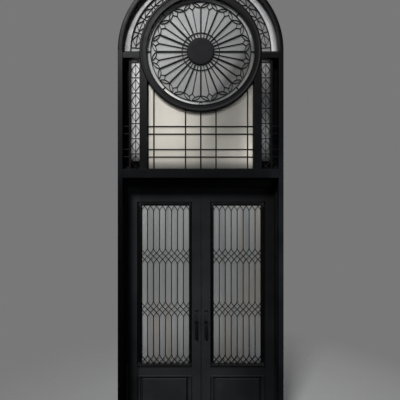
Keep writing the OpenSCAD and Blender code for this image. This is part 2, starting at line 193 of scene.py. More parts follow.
def paint(name, base, rough, spec=0.5, peel=0.12, dust=0.35, scratch=0.25, films=()):
    """Satin paint on steel: broad tone drift, orange peel, rubbed patches, dust where it can lie."""
    m, nt, bs = clear_nodes(name)
    tc = nt.nodes.new("ShaderNodeTexCoord").outputs["Object"]
    geo = nt.nodes.new("ShaderNodeNewGeometry")
    broad = noise(nt, tc, 2.3, 4, 0.55)
    mid = noise(nt, tc, 21, 5, 0.6)
    fine = noise(nt, tc, 430, 2, 0.5)
    streak = noise(nt, tc, 1.0, 5, 0.65, stretch=(90, 90, 5))
    lo = tuple(c * 0.82 for c in base)
    hi = tuple(min(1, c * 1.22 + 0.0008) for c in base)
    col = mixc(nt, ramp(nt, broad, 0, 1, 0.36, 0.64), lo, hi)
    # thin grey film of dust on ledges and, faintly, in patches
    sep = nt.nodes.new("ShaderNodeSeparateXYZ")
    nt.links.new(geo.outputs["Normal"], sep.inputs[0])
    up = ramp(nt, sep.outputs[2], 0, 1, 0.35, 0.95)
    film = math2(nt, "MULTIPLY", up, ramp(nt, mid, 0.25, 1.0, 0.35, 0.7))
    film = math2(nt, "MULTIPLY", film, dust)
    patch = math2(nt, "MULTIPLY", ramp(nt, mid, 0, 1, 0.56, 0.8), 0.05 * dust)
    film = math2(nt, "MAXIMUM", film, patch)
    col = mixc(nt, film, col, (0.11, 0.105, 0.098))
    for fn in films:
        col = times(nt, col, fn(nt))
    nt.links.new(col, bs.inputs["Base Color"])
    r1 = ramp(nt, mid, rough - 0.035, rough + 0.05, 0.35, 0.68)
    r2 = math2(nt, "MULTIPLY", ramp(nt, streak, 0, 1, 0.52, 0.75), -0.05 * scratch)
    r3 = math2(nt, "MULTIPLY", film, 0.5)
    rr = math2(nt, "ADD", math2(nt, "ADD", r1, r2), r3)
    nt.links.new(rr, bs.inputs["Roughness"])
    h1 = bump(nt, fine, peel, 0.0004)
    h2 = bump(nt, mid, 0.10, 0.0015, h1)
    nt.links.new(h2, bs.inputs["Normal"])
    bs.inputs["Specular IOR Level"].default_value = spec
    bs.inputs["IOR"].default_value = 1.5
    bs.inputs["Metallic"].default_value = 0.0
    return m


def forged(name, base, rough, spec=0.5, films=()):
    """Paint over hammered bar: shallow dents over the orange peel."""
    m, nt, bs = clear_nodes(name)
    tc = nt.nodes.new("ShaderNodeTexCoord").outputs["Object"]
    broad = noise(nt, tc, 5.0, 4, 0.55)
    dents = noise(nt, tc, 95, 2, 0.4)
    fine = noise(nt, tc, 600, 2, 0.5)
    col = mixc(nt, ramp(nt, broad, 0, 1, 0.35, 0.65), tuple(c * 0.8 for c in base),
               tuple(c * 1.25 for c in base))
    col = mixc(nt, ramp(nt, dents, 0.0, 0.25, 0.55, 0.8), col, (0.05, 0.048, 0.045))
    for fn in films:
        col = times(nt, col, fn(nt))
    nt.links.new(col, bs.inputs["Base Color"])
    nt.links.new(ramp(nt, dents, rough - 0.06, rough + 0.08, 0.3, 0.7), bs.inputs["Roughness"])
    h1 = bump(nt, fine, 0.12, 0.0004)
    h2 = bump(nt, dents, 0.28, 0.0018, h1)
    nt.links.new(h2, bs.inputs["Normal"])
    bs.inputs["Specular IOR Level"].default_value = spec
    return m


def rubber(name):
    m, nt, bs = clear_nodes(name)
    tc = nt.nodes.new("ShaderNodeTexCoord").outputs["Object"]
    n1 = noise(nt, tc, 40, 4, 0.6)
    n2 = noise(nt, tc, 900, 2, 0.5)
    nt.links.new(mixc(nt, ramp(nt, n1, 0, 1), (0.004, 0.004, 0.0045), (0.010, 0.010, 0.010)),
                 bs.inputs["Base Color"])
    nt.links.new(ramp(nt, n1, 0.62, 0.8), bs.inputs["Roughness"])
    nt.links.new(bump(nt, n2, 0.25, 0.0004), bs.inputs["Normal"])
    bs.inputs["Specular IOR Level"].default_value = 0.3
    return m


def bronze(name, base, rough):
    """Oil-rubbed bronze: dark skin, worn lighter in patches, with fine brushed lines."""
    m, nt, bs = clear_nodes(name)
    tc = nt.nodes.new("ShaderNodeTexCoord").outputs["Object"]
    patch = noise(nt, tc, 34, 5, 0.65)
    line = noise(nt, tc, 1.0, 4, 0.6, stretch=(900, 900, 40))
    col = mixc(nt, ramp(nt, patch, 0, 1, 0.42, 0.75), base, (0.010, 0.0092, 0.0086))
    nt.links.new(col, bs.inputs["Base Color"])
    r = math2(nt, "ADD", ramp(nt, patch, rough + 0.08, rough - 0.06, 0.35, 0.7),
              ramp(nt, line, -0.03, 0.03))
    nt.links.new(r, bs.inputs["Roughness"])
    nt.links.new(ramp(nt, patch, 0.1, 0.5, 0.45, 0.75), bs.inputs["Metallic"])
    bs.inputs["Specular IOR Level"].default_value = 0.3
    nt.links.new(bump(nt, line, 0.12, 0.0003), bs.inputs["Normal"])
    return m


def coord(nt, axis=None, centre=(0.0, 0.0), along=None):
    """Object-space x, y or z, the radius about a centre in the XZ plane, or the distance along a direction in it."""
    tc = nt.nodes.new("ShaderNodeTexCoord").outputs["Object"]
    sp = nt.nodes.new("ShaderNodeSeparateXYZ")
    nt.links.new(tc, sp.inputs[0])
    if axis is not None:
        return sp.outputs[axis]
    dx = math2(nt, "SUBTRACT", sp.outputs[0], centre[0])
    dz = math2(nt, "SUBTRACT", sp.outputs[2], centre[1])
    if along is None:
        return math2(nt, "SQRT", math2(nt, "ADD", math2(nt, "MULTIPLY", dx, dx), math2(nt, "MULTIPLY", dz, dz)))
    t = math.radians(along)
    return math2(nt, "ADD", math2(nt, "MULTIPLY", dx, math.cos(t)), math2(nt, "MULTIPLY", dz, math.sin(t)))


def curve(nt, value, points):
    """Piecewise-linear factor of a coordinate; points are (position, factor) in rising order."""
    lo, hi = points[0][0], points[-1][0]
    u = ramp(nt, value, 0.0, 1.0, lo, hi)
    cr = nt.nodes.new("ShaderNodeValToRGB")
    el = cr.color_ramp.elements
    while len(el) < len(points):
        el.new(0.5)
    for e_, (p_, f_) in zip(el, points):
        e_.position = (p_ - lo) / (hi - lo)
    for e_, (p_, f_) in zip(el, points):
        e_.color = (f_, f_, f_, 1)
    nt.links.new(u, cr.inputs[0])
    return cr.outputs[0]


def times(nt, col, factor):
    """A colour times a grey factor."""
    vm = nt.nodes.new("ShaderNodeVectorMath")
    vm.operation = "MULTIPLY"
    nt.links.new(col, vm.inputs[0])
    nt.links.new(factor, vm.inputs[1])
    return vm.outputs[0]


def glass(name, lo, hi, rough, trans, ripple, kind="cathedral", spec=0.5, drift=(1.1, 0.8),
          tint=None, films=()):
    """Obscured glass: soft tone drift, surface figure as bump, mostly passing light.
    films: a list of functions of the node tree, each giving a tone factor over position."""
    m, nt, bs = clear_nodes(name)
    tc = nt.nodes.new("ShaderNodeTexCoord").outputs["Object"]
    if kind == "reeded":
        broad = noise(nt, tc, 1.0, 3, 0.5, stretch=(11, 3, 0.55))
        broad2 = noise(nt, tc, 1.0, 4, 0.55, stretch=(34, 5, 1.1))
        fac = math2(nt, "ADD", math2(nt, "MULTIPLY", broad, 0.6), math2(nt, "MULTIPLY", broad2, 0.4))
        col = mixc(nt, ramp(nt, fac, 0, 1, 0.38, 0.62), lo, hi)
        if tint:
            warm = noise(nt, tc, 1.0, 2, 0.5, stretch=(7, 3, 0.9))
            col = mixc(nt, ramp(nt, warm, 0, 0.8, 0.5, 0.66), col, tint)
        wob = noise(nt, tc, 1.0, 2, 0.5, stretch=(10, 3, 2.5))
        ph = math2(nt, "ADD", math2(nt, "MULTIPLY", coord(nt, 0), 520.0), math2(nt, "MULTIPLY", wob, 3.0))
        reed = math2(nt, "SINE", ph)
        soft = noise(nt, tc, 1.0, 3, 0.5, stretch=(45, 20, 9))
        n1 = bump(nt, reed, 0.22 * ripple, 0.0012)
        n2 = bump(nt, soft, 0.35 * ripple, 0.004, n1)
    else:
        broad = noise(nt, tc, drift[0], 3, 0.5)
        mid = noise(nt, tc, 9.0, 4, 0.55)
        fac = math2(nt, "ADD", math2(nt, "MULTIPLY", broad, drift[1]), math2(nt, "MULTIPLY", mid, 1 - drift[1]))
        col = mixc(nt, ramp(nt, fac, 0, 1, 0.4, 0.6), lo, hi)
        if tint:
            warm = noise(nt, tc, 3.1, 2, 0.5)
            col = mixc(nt, ramp(nt, warm, 0, 0.7, 0.5, 0.64), col, tint)
        soft = noise(nt, tc, 26, 3, 0.55, dist=0.6)
        grain = noise(nt, tc, 210, 3, 0.6)
        n1 = bump(nt, grain, 0.10 * ripple, 0.0008)
        n2 = bump(nt, soft, 0.30 * ripple, 0.004, n1)
    for fn in films:
        col = times(nt, col, fn(nt))
    nt.links.new(col, bs.inputs["Base Color"])
    nt.links.new(ramp(nt, noise(nt, tc, 15, 3), rough - 0.03, rough + 0.05), bs.inputs["Roughness"])
    nt.links.new(n2, bs.inputs["Normal"])
    bs.inputs["Transmission Weight"].default_value = trans
    bs.inputs["IOR"].default_value = 1.46
    bs.inputs["Specular IOR Level"].default_value = spec
    return m


WC = (WX * MM, WZ * MM)
SILL = TT * MM
# Tone of each pane over position. These curves are fitted to the reference view, light and shade
# included, so they are baked shading and not a known property of the glass.
main_films = (lambda nt: curve(nt, coord(nt, 0), [(-0.30, 1.0), (-0.166, 0.85), (-0.076, 0.74), (0.036, 0.57), (0.126, 0.39),
                                                  (0.284, 0.30), (0.419, 0.27), (0.56, 0.36)]),
              lambda nt: math2(nt, "ADD", 1.0, math2(nt, "MULTIPLY", curve(nt, coord(nt, 0), [(0.05, 0.0), (0.35, 1.0)]),
                                                     curve(nt, coord(nt, 2), [(SILL, 1.0), (SILL + 0.15, 0.85), (SILL + 0.45, 0.0)]))),
              lambda nt: curve(nt, coord(nt, 2), [(SILL + 0.01, 0.16), (SILL + 0.05, 0.36), (SILL + 0.075, 0.52), (SILL + 0.107, 0.82),
                                                  (SILL + 0.265, 0.94), (SILL + 0.40, 1.0)]))
rose_films = (lambda nt: curve(nt, coord(nt, None, WC, -35), [(-0.42, 0.62), (-0.30, 0.70), (-0.10, 0.68), (0.20, 0.53), (0.30, 0.46), (0.36, 0.38), (0.42, 0.15), (0.55, 0.20)]),
              lambda nt: math2(nt, "MAXIMUM",
                               curve(nt, coord(nt, None, WC), [(0.558, 1.0), (0.566, 0.0), (0.61, 0.0)]),
                               math2(nt, "MULTIPLY", curve(nt, coord(nt, None, WC), [(0.556, 0.0), (0.564, 1.0), (0.61, 1.0)]),
                                     curve(nt, coord(nt, None, WC, 140), [(-0.62, 1.9), (-0.42, 1.9), (-0.30, 2.6), (-0.05, 2.9), (0.15, 1.4), (0.6, 0.75)]))))
arch_films = (lambda nt: curve(nt, coord(nt, None, WC), [(0.683, 0.42), (0.772, 0.46), (0.786, 0.72), (0.797, 1.0), (0.815, 0.92),
                                                         (0.835, 0.60), (0.852, 0.25), (0.868, 0.07)]),
              lambda nt: curve(nt, coord(nt, 0), [(-0.5, 0.84), (0.55, 0.98)]),
              # painted light: the right-hand strip is painted lighter nearly to its edge, against the painted shade
              # along the casing
              lambda nt: math2(nt, "ADD", 1.0, math2(nt, "MULTIPLY",
                                                     curve(nt, coord(nt, 0), [(0.1, 0.0), (0.3, 1.0)]),
                                                     math2(nt, "MULTIPLY", 3.0, curve(nt, coord(nt, None, WC), [(0.790, 0.0), (0.797, 0.25), (0.835, 0.55), (0.850, 1.0), (0.862, 0.8), (0.868, 0.0)])))))
side_films = (lambda nt: curve(nt, coord(nt, 2), [(SILL + 0.09, 0.10), (SILL + 0.15, 0.28), (SILL + 0.22, 0.60), (SILL + 0.30, 0.86), (SILL + 0.36, 1.0)]),
              lambda nt: math2(nt, "MAXIMUM",
                               curve(nt, coord(nt, 0), [(-0.1, 1.0), (0.1, 0.0)]),
                               curve(nt, coord(nt, 2), [(3.40, 0.09), (3.55, 0.05), (3.75, 0.045), (3.95, 0.20), (4.10, 0.46)])))
leaf_films = (lambda nt: curve(nt, coord(nt, 2), [(0.7, 1.0), (1.1, 0.86), (1.5, 0.72), (2.0, 0.72), (2.5, 0.96)]),
              lambda nt: curve(nt, coord(nt, 0), [(-0.7, 1.0), (-0.1, 0.97), (0.2, 0.82), (0.7, 0.78)]))

# The same for the paints: baked shading fitted to the reference view, different on left and right.
def jamb_tone(nt):
    z = coord(nt, 2)
    # painted light and shade on the frame's front: dark towards the foot, lightest about the transom
    f = curve(nt, z, [(0.0, 0.05), (1.2, 0.12), (2.2, 0.30), (2.7, 0.70), (2.9, 1.45), (3.3, 1.30), (3.8, 0.95), (4.5, 0.5)])
    # painted reflection and light: the right jamb's lower front is painted many times lighter, most at the foot
    right = math2(nt, "MULTIPLY", curve(nt, coord(nt, 0), [(0.74, 0.0), (0.80, 1.0)]),
                  math2(nt, "MULTIPLY", 50.0, curve(nt, z, [(0.0, 0.90), (0.8, 0.54), (1.2, 0.50), (1.8, 0.40), (2.2, 0.22),
                                                           (2.7, 0.05), (2.9, 0.015), (3.3, 0.0), (4.2, 0.0)])))
    front = math2(nt, "MULTIPLY", f, math2(nt, "ADD", 1.0, right))
    # the wall faces, the crown and the back skip the front's painted light and shade and take seven times the base tone
    side = curve(nt, math2(nt, "ABSOLUTE", coord(nt, 0)), [(0.9192, 0.0), (0.9202, 1.0)])
    crown = math2(nt, "MULTIPLY", curve(nt, coord(nt, None, WC), [(0.9192, 0.0), (0.9202, 1.0)]), curve(nt, z, [(WC[1] - 0.01, 0.0), (WC[1], 1.0)]))
    back = curve(nt, coord(nt, 1), [(0.06, 0.0), (0.10, 1.0)])
    w = math2(nt, "MAXIMUM", math2(nt, "MAXIMUM", side, crown), back)
    return math2(nt, "ADD", math2(nt, "MULTIPLY", front, math2(nt, "SUBTRACT", 1.0, w)), math2(nt, "MULTIPLY", w, 7.0))


jamb_films = (jamb_tone,)
# painted shade on the leaves: darker over the left leaf's hinge stile, towards the right leaf's hinges and towards the
# head
tone_films = (lambda nt: curve(nt, coord(nt, 0), [(-0.80, 0.50), (-0.745, 0.66), (-0.72, 1.0), (0.10, 1.0), (0.30, 0.80), (0.75, 0.37)]),
              lambda nt: curve(nt, coord(nt, 2), [(0.0, 1.0), (1.2, 0.95), (2.0, 0.70), (2.6, 0.46)]))
# painted light and shade: the lattice is painted paler where it laps over the sash at head and foot, and dark over the
# glass
edge_films = (lambda nt: curve(nt, coord(nt, 2), [(0.640, 1.0), (0.668, 0.8), (0.685, 0.14), (2.50, 0.14), (2.535, 0.8), (2.56, 1.0)]),)

def window(nt, value, a0, a1, b0, b1):
    """1 between a1 and b0, 0 outside a0 and b1."""
    return curve(nt, value, [(a0 - 0.001, 0.0), (a0, 0.0), (a1, 1.0), (b0, 1.0), (b1, 0.0), (b1 + 0.001, 0.0)])


def less(nt, amount, w):
    """1 less amount times w."""
    return math2(nt, "SUBTRACT", 1.0, math2(nt, "MULTIPLY", w, amount))


MLO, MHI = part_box("right_moulding")[0][0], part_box("right_moulding")[1][0]
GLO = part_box("right_grille")[0][2]
# painted light and shade: the left hinge stile is painted darker at its foot and lighter towards its head
tone_films += (lambda nt: math2(nt, "ADD", 1.0, math2(nt, "MULTIPLY", curve(nt, coord(nt, 0), [(-0.745, 1.0), (-0.715, 0.0)]),
                                                      math2(nt, "SUBTRACT", curve(nt, coord(nt, 2), [(0.2, 0.55), (1.2, 0.95), (2.4, 2.2)]), 1.0))),)
absx = lambda nt: math2(nt, "ABSOLUTE", coord(nt, 0))
# baked: shade line where the glazed opening meets the rail under it
tone_films += (lambda nt: less(nt, 0.72, math2(nt, "MULTIPLY", window(nt, absx(nt), MLO - 0.003, MLO + 0.002, MHI - 0.002, MHI + 0.003),
                                               window(nt, coord(nt, 2), GLO - 0.020, GLO - 0.016, GLO - 0.003, GLO + 0.002))),)
# baked: shade line in the joint between moulding and stile
quirk_films = tone_films + (lambda nt: less(nt, 0.85, window(nt, absx(nt), MLO - 0.004, MLO - 0.002, MLO + 0.006, MLO + 0.009)),
                            lambda nt: less(nt, 0.85, window(nt, absx(nt), MHI - 0.009, MHI - 0.006, MHI + 0.002, MHI + 0.004)))
# baked: shade line beside the raised field, not mirrored
field_films = tone_films + (lambda nt: less(nt, 0.90, window(nt, coord(nt, 0), -MLO - 0.068, -MLO - 0.066, -MLO - 0.054, -MLO - 0.052)),
                            lambda nt: less(nt, 0.90, window(nt, coord(nt, 0), MHI - 0.068, MHI - 0.066, MHI - 0.054, MHI - 0.052)),
                            lambda nt: less(nt, 0.65, window(nt, coord(nt, 0), -MHI + 0.047, -MHI + 0.049, -MHI + 0.060, -MHI + 0.062)))
# painted light and shade on the sash paint: its foot is painted about three times lighter, more on the left leaf, and
# it darkens towards the right
sash_films = (lambda nt: curve(nt, coord(nt, 2), [(GLO, 3.2), (GLO + 0.026, 3.0), (GLO + 0.040, 1.0)]),
              lambda nt: math2(nt, "ADD", 1.0, math2(nt, "MULTIPLY", curve(nt, coord(nt, 2), [(GLO + 0.026, 1.0), (GLO + 0.040, 0.0)]),
                                                     curve(nt, coord(nt, 0), [(-0.05, 1.3), (0.05, 0.0)]))),
              lambda nt: curve(nt, coord(nt, 0), [(0.0, 1.0), (0.3, 0.75), (0.75, 0.55)]))

M = {
    # painted shade: the frame paint's base is set far darker than the leaf paint's; jamb_tone paints more light and
    # shade over it
    "frame": paint("frame_paint_satin", (0.0019, 0.0022, 0.0027), 0.41, spec=0.085, dust=0.04, films=jamb_films),
    # painted shade: the ring's paint is darker towards the right
    "ring": paint("frame_paint_ring", (0.0030, 0.0031, 0.0040), 0.42, spec=0.080, dust=0.06, films=(lambda nt: curve(nt, coord(nt, 0), [(-0.1, 1.0), (0.35, 0.75), (0.68, 0.6)]),)),
    "hub": paint("frame_paint_hub", (0.0062, 0.0062, 0.0080), 0.5, spec=0.07, dust=0.06),
    # painted shade: a darker copy of the frame paint, for the bars, dividers and sills of the side lights
    "recess_shade": paint("frame_paint_recess", (0.0012, 0.0012, 0.0016), 0.55, spec=0.08, dust=0.05),
    "leaf": paint("leaf_paint_satin", (0.0230, 0.0242, 0.0266), 0.5, spec=0.10, dust=0.2, films=tone_films),
    "moulding": paint("moulding_paint_satin", (0.0230, 0.0242, 0.0266), 0.5, spec=0.10, dust=0.2, films=quirk_films),
    "field": paint("panel_paint_satin", (0.0230, 0.0242, 0.0266), 0.5, spec=0.10, dust=0.2, films=field_films),
    "grille": forged("grille_paint_forged", (0.0034, 0.0035, 0.0042), 0.45, spec=0.10),
    "lattice": forged("lattice_paint_forged", (0.0150, 0.0151, 0.0160), 0.45, spec=0.08, films=edge_films),
    "plate": paint("fitting_plate_satin", (0.0135, 0.0135, 0.0138), 0.42, spec=0.22, dust=0.1),
    "brush": paint("seal_brush", (0.0150, 0.0150, 0.0156), 0.8, spec=0.05, dust=0.1),
    "sash": paint("sash_paint_matt", (0.0034, 0.0034, 0.0038), 0.55, spec=0.10, dust=0.10, films=sash_films),
    "rubber": rubber("seal_rubber"),
    "bronze": bronze("fitting_bronze", (0.0032, 0.0031, 0.0032), 0.42),
    "wheel_glass": glass("wheel_glass_obscured", (0.44, 0.45, 0.46), (0.52, 0.53, 0.54), 0.42, 0.82, 0.8,
                         tint=(0.50, 0.505, 0.465), spec=0.3, films=rose_films),
    "main_glass": glass("main_glass_obscured", (0.70, 0.67, 0.60), (0.78, 0.75, 0.68), 0.42, 0.82, 0.7, spec=0.3, films=main_films),
    "border_glass": glass("border_glass_obscured", (0.54, 0.54, 0.55), (0.64, 0.64, 0.65), 0.40, 0.82, 0.8, spec=0.3, films=arch_films),
    "ribbon_glass": glass("ribbon_glass_obscured", (0.60, 0.60, 0.61), (0.73, 0.73, 0.74), 0.40, 0.82, 0.8, spec=0.3, films=side_films),
    # painted shade: the outer strips' panes are near-black, standing in for the deep shade there
    "strip_glass": glass("strip_glass_dark", (0.002, 0.002, 0.0025), (0.0035, 0.0035, 0.0045), 0.16, 0.10, 0.3, spec=0.08),
    "leaf_glass": glass("leaf_glass_reeded", (0.31, 0.323, 0.330), (0.44, 0.455, 0.460), 0.34, 0.75, 1.0,
                        kind="reeded", tint=(0.39, 0.37, 0.34), spec=0.3, films=leaf_films),
}


# ------------------------------------------------------------------ mesh toolkit (millimetres in, metres out)
class Shape:
    def __init__(self):
        self.v, self.f = [], []

    def add(self, verts, faces):
        n = len(self.v)
        self.v.extend(verts)
        self.f.extend(tuple(i + n for i in f) for f in faces)
        return self

    def box(self, x0, x1, y0, y1, z0, z1):
        v = [(x, y, z) for x in (x0, x1) for y in (y0, y1) for z in (z0, z1)]
        return self.add(v, [(0, 1, 3, 2), (4, 6, 7, 5), (0, 4, 5, 1), (2, 3, 7, 6), (0, 2, 6, 4), (1, 5, 7, 3)])

    def prism(self, poly, y0, y1):
        n = len(poly)
        v = [(x, y0, z) for x, z in poly] + [(x, y1, z) for x, z in poly]
        f = [tuple(range(n)), tuple(range(2 * n - 1, n - 1, -1))]
        f += [(i, i + n, (i + 1) % n + n, (i + 1) % n) for i in range(n)]
        return self.add(v, f)

    def tube(self, path, prof, closed=False):
        """Sweeps prof, a closed list of (across, y), along a path of (x, z)."""
        n, k = len(path), len(prof)
        verts = []
        for i, p in enumerate(path):
            p = Vector(p)
            a = Vector(path[i - 1]) if (i > 0 or closed) else None
            b = Vector(path[(i + 1) % n]) if (i < n - 1 or closed) else None
            d1 = (p - a).normalized() if a is not None else None
            d2 = (b - p).normalized() if b is not None else None
            if d1 is None:
                d1 = d2
            if d2 is None:
                d2 = d1
            t = (d1 + d2)
            t = t.normalized() if t.length > 1e-6 else d1
            nn = Vector((-t.y, t.x))
            c = max(0.3, nn.dot(Vector((-d1.y, d1.x))))
            for u, y in prof:
                q = p + nn * (u / c)
                verts.append((q.x, y, q.y))
        faces = []
        last = n if closed else n - 1
        for i in range(last):
            j = (i + 1) % n
            for m in range(k):
                m2 = (m + 1) % k
                faces.append((i * k + m, i * k + m2, j * k + m2, j * k + m))
        if not closed:
            faces.append(tuple(range(k - 1, -1, -1)))
            faces.append(tuple(range((n - 1) * k, n * k)))
        return self.add(verts, faces)

    def frame(self, x0, x1, z0, z1, prof):
        """Mitred rectangular frame; prof is a closed list of (inset, y)."""
        k = len(prof)
        verts = []
        for sx, sz in ((0, 0), (1, 0), (1, 1), (0, 1)):
            for u, y in prof:
                verts.append((x0 + u if sx == 0 else x1 - u, y, z0 + u if sz == 0 else z1 - u))
        faces = []
        for i in range(4):
            j = (i + 1) % 4
            for m in range(k):
                m2 = (m + 1) % k
                faces.append((i * k + m, i * k + m2, j * k + m2, j * k + m))
        return self.add(verts, faces)

    def lathe(self, prof, cx, cz, seg=64, closed=False, a0=0.0, a1=360.0, axis="y", cy=0.0):
        """Revolves prof, (radius, along) points, about a line. A radius of 0 closes an end."""
        full = abs(a1 - a0 - 360) < 1e-6
        cnt = seg if full else seg + 1
        idx, verts = [], []
        for r, y in prof:
            if r < 1e-6:
                idx.append([len(verts)] * cnt)
                verts.append(self._at(axis, cx, cy, cz, 0, 0, y))
            else:
                row = []
                for i in range(cnt):
                    t = math.radians(a0 + (a1 - a0) * i / seg)
                    row.append(len(verts))
                    verts.append(self._at(axis, cx, cy, cz, r * math.cos(t), r * math.sin(t), y))
                idx.append(row)
        faces = []
        k = len(prof)
        for m in range(k if closed else k - 1):
            a, b = idx[m], idx[(m + 1) % k]
            for i in range(cnt if full else cnt - 1):
                j = (i + 1) % cnt
                q = [a[i], a[j], b[j], b[i]]
                q = [x for n_, x in enumerate(q) if x not in q[:n_]]
                if len(q) > 2:
                    faces.append(tuple(q))
        if not full and closed:
            faces.append(tuple(r[0] for r in idx))
            faces.append(tuple(r[-1] for r in reversed(idx)))
        return self.add(verts, faces)

    @staticmethod
    def _at(axis, cx, cy, cz, a, b, y):
        if axis == "y":
            return (cx + a, y, cz + b)
        if axis == "z":
            return (cx + a, cy + b, y)
        return (y, cy + a, cz + b)

    def dome(self, cx, cz, r, y_back, height, seg=16, rings=4):
        """A button standing proud towards -y from y_back."""
        prof = [(0.0, y_back)]
        prof += [(r, y_back)]
        for i in range(1, rings):
            t = i / rings * PI / 2
            prof.append((r * math.cos(t), y_back - height * math.sin(t)))
        prof.append((0.0, y_back - height))
        return self.lathe(prof, cx, cz, seg)

    def pipe(self, pts, radii, seg=12, squash=1.0, cap=True):
        """Round or oval pipe through 3-D points, its section turned with the path."""
        pts = [Vector(p) for p in pts]
        n = len(pts)
        if not isinstance(radii, (list, tuple)):
            radii = [radii] * n
        tang = []
        for i in range(n):
            a, b = pts[max(i - 1, 0)], pts[min(i + 1, n - 1)]
            tang.append((b - a).normalized())
        up = Vector((1, 0, 0)) if abs(tang[0].x) < 0.9 else Vector((0, 0, 1))
        u = (up - tang[0] * up.dot(tang[0])).normalized()
        verts = []
        for i in range(n):
            u = (u - tang[i] * u.dot(tang[i])).normalized()
            w = tang[i].cross(u)
            for k in range(seg):
                t = 2 * PI * k / seg
                q = pts[i] + u * (radii[i] * math.cos(t)) + w * (radii[i] * squash * math.sin(t))
                verts.append(tuple(q))
        faces = [(i * seg + k, i * seg + (k + 1) % seg, (i + 1) * seg + (k + 1) % seg, (i + 1) * seg + k)
                 for i in range(n - 1) for k in range(seg)]
        if cap:
            faces.append(tuple(range(seg - 1, -1, -1)))
            faces.append(tuple(range((n - 1) * seg, n * seg)))
        return self.add(verts, faces)

    def moved(self, dx=0, dy=0, dz=0):
        s = Shape()
        s.v = [(x + dx, y + dy, z + dz) for x, y, z in self.v]
        s.f = list(self.f)
        return s

    def mapped(self, fn):
        s = Shape()
        s.v = [fn(*p) for p in self.v]
        s.f = list(self.f)
        return s

    def plus(self, *others):
        for o in others:
            self.add(o.v, o.f)
        return self


def flip_x(shape):
    return shape.mapped(lambda x, y, z: (-x, y, z))


def back_copy(shape, mid=None):
    """The same shape on the other face of the leaf."""
    mid = LM if mid is None else mid
    return shape.mapped(lambda x, y, z: (x, 2 * mid - y, z))


def piece(name, shape, mat, body, replaces=(), bevel=0.0, seg=2, angle=32.0, sharp=38.0):
    me = bpy.data.meshes.new(name)
    me.from_pydata([(x * MM, y * MM, z * MM) for x, y, z in shape.v], [], shape.f)
    bm = bmesh.new()
    bm.from_mesh(me)
    bmesh.ops.recalc_face_normals(bm, faces=bm.faces[:])
    bm.to_mesh(me)
    bm.free()
    me.materials.append(M[mat])
    ob = bpy.data.objects.new(name, me)
    bpy.context.scene.collection.objects.link(ob)
    for p in me.polygons:
        p.use_smooth = True
    if bevel:
        b = ob.modifiers.new("edge", "BEVEL")
        b.width = bevel * MM
        b.segments = seg
        b.limit_method = "ANGLE"
        b.angle_limit = math.radians(angle)
        b.harden_normals = True
        b.use_clamp_overlap = True
    else:
        me.set_sharp_from_angle(angle=math.radians(sharp))
    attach(ob, body)
    if replaces:
        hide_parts(*replaces)
    return ob


def keep(node, mat, bevel=1.2, seg=2, angle=32.0):
    """Keeps a CAD node, with softened edges and a finish."""
    ob = nodes[node]
    for i in range(len(ob.material_slots)):
        ob.material_slots[i].material = M[mat]
    if bevel:
        w = ob.modifiers.new("join", "WELD")
        w.merge_threshold = 1e-5
        b = ob.modifiers.new("edge", "BEVEL")
        b.width = bevel * MM
        b.segments = seg
        b.limit_method = "ANGLE"
        b.angle_limit = math.radians(angle)
        b.harden_normals = True
    return ob


# ------------------------------------------------------------------ bar sections
def bar_prof(w, y0, y1, r=None, steps=3):
    """Flat bar section with a rounded front: (across, y), front towards -y."""
    r = min(w / 2 * 0.98, (y1 - y0) * 0.8) if r is None else r
    h = w / 2
    pts = [(-h, y1)]
    for i in range(steps + 1):
        t = i / steps * PI / 2
        pts.append((-h + r - r * math.cos(t), y0 + r - r * math.sin(t)))
    for i in range(steps + 1):
        t = (1 - i / steps) * PI / 2
        pts.append((h - r + r * math.cos(t), y0 + r - r * math.sin(t)))
    pts.append((h, y1))
    out = []
    for p in pts:
        if not out or math.hypot(out[-1][0] - p[0], out[-1][1] - p[1]) > 0.05:
            out.append(p)
    return out


def round_prof(rx, ry, cy, n=10):
    return [(rx * math.cos(2 * PI * i / n), cy + ry * math.sin(2 * PI * i / n)) for i in range(n)]


def polar(r, deg, cx=0.0, cz=0.0):
    t = math.radians(deg)
    return (cx + r * math.cos(t), cz + r * math.sin(t))


def rot(p, deg, cx, cz):
    t = math.radians(deg)
    x, z = p
    return (cx + x * math.cos(t) - z * math.sin(t), cz + x * math.sin(t) + z * math.cos(t))


def ring_path(r, cx, cz, n, a0=0.0, a1=360.0):
    full = abs(a1 - a0 - 360) < 1e-6
    cnt = n if full else n + 1
    return [polar(r, a0 + (a1 - a0) * i / n, cx, cz) for i in range(cnt)]


# ================================================================== FIXED FRAME
for n_ in ("left_jamb", "right_jamb"):
    keep(n_, "frame", 2.0)
keep("transom_beam", "frame", 2.0)
keep("door_head", "frame", 1.5)
keep("door_stops", "sash", 1.5)
keep("mullions", "frame", 2.0)
keep("spring_bars", "frame", 1.5)
keep("threshold", "bronze", 1.5)
keep("frame_hinges", "bronze", 0.6)

# arch head: the same bar as the jambs, bent to the arch
s = Shape()
e = 2.0
arch_prof = [(RI, YB), (RI, YF + e), (RI + e * 0.3, YF + e * 0.3), (RI + e, YF), (RO - e, YF), (RO - e * 0.3, YF + e * 0.3),
             (RO, YF + e), (RO, YB)]
s.lathe(arch_prof, 0, AZ, 160, closed=True, a0=0, a1=180)
piece("arch_head_bent", s, "frame", "frame", ("arch_head",), sharp=25)

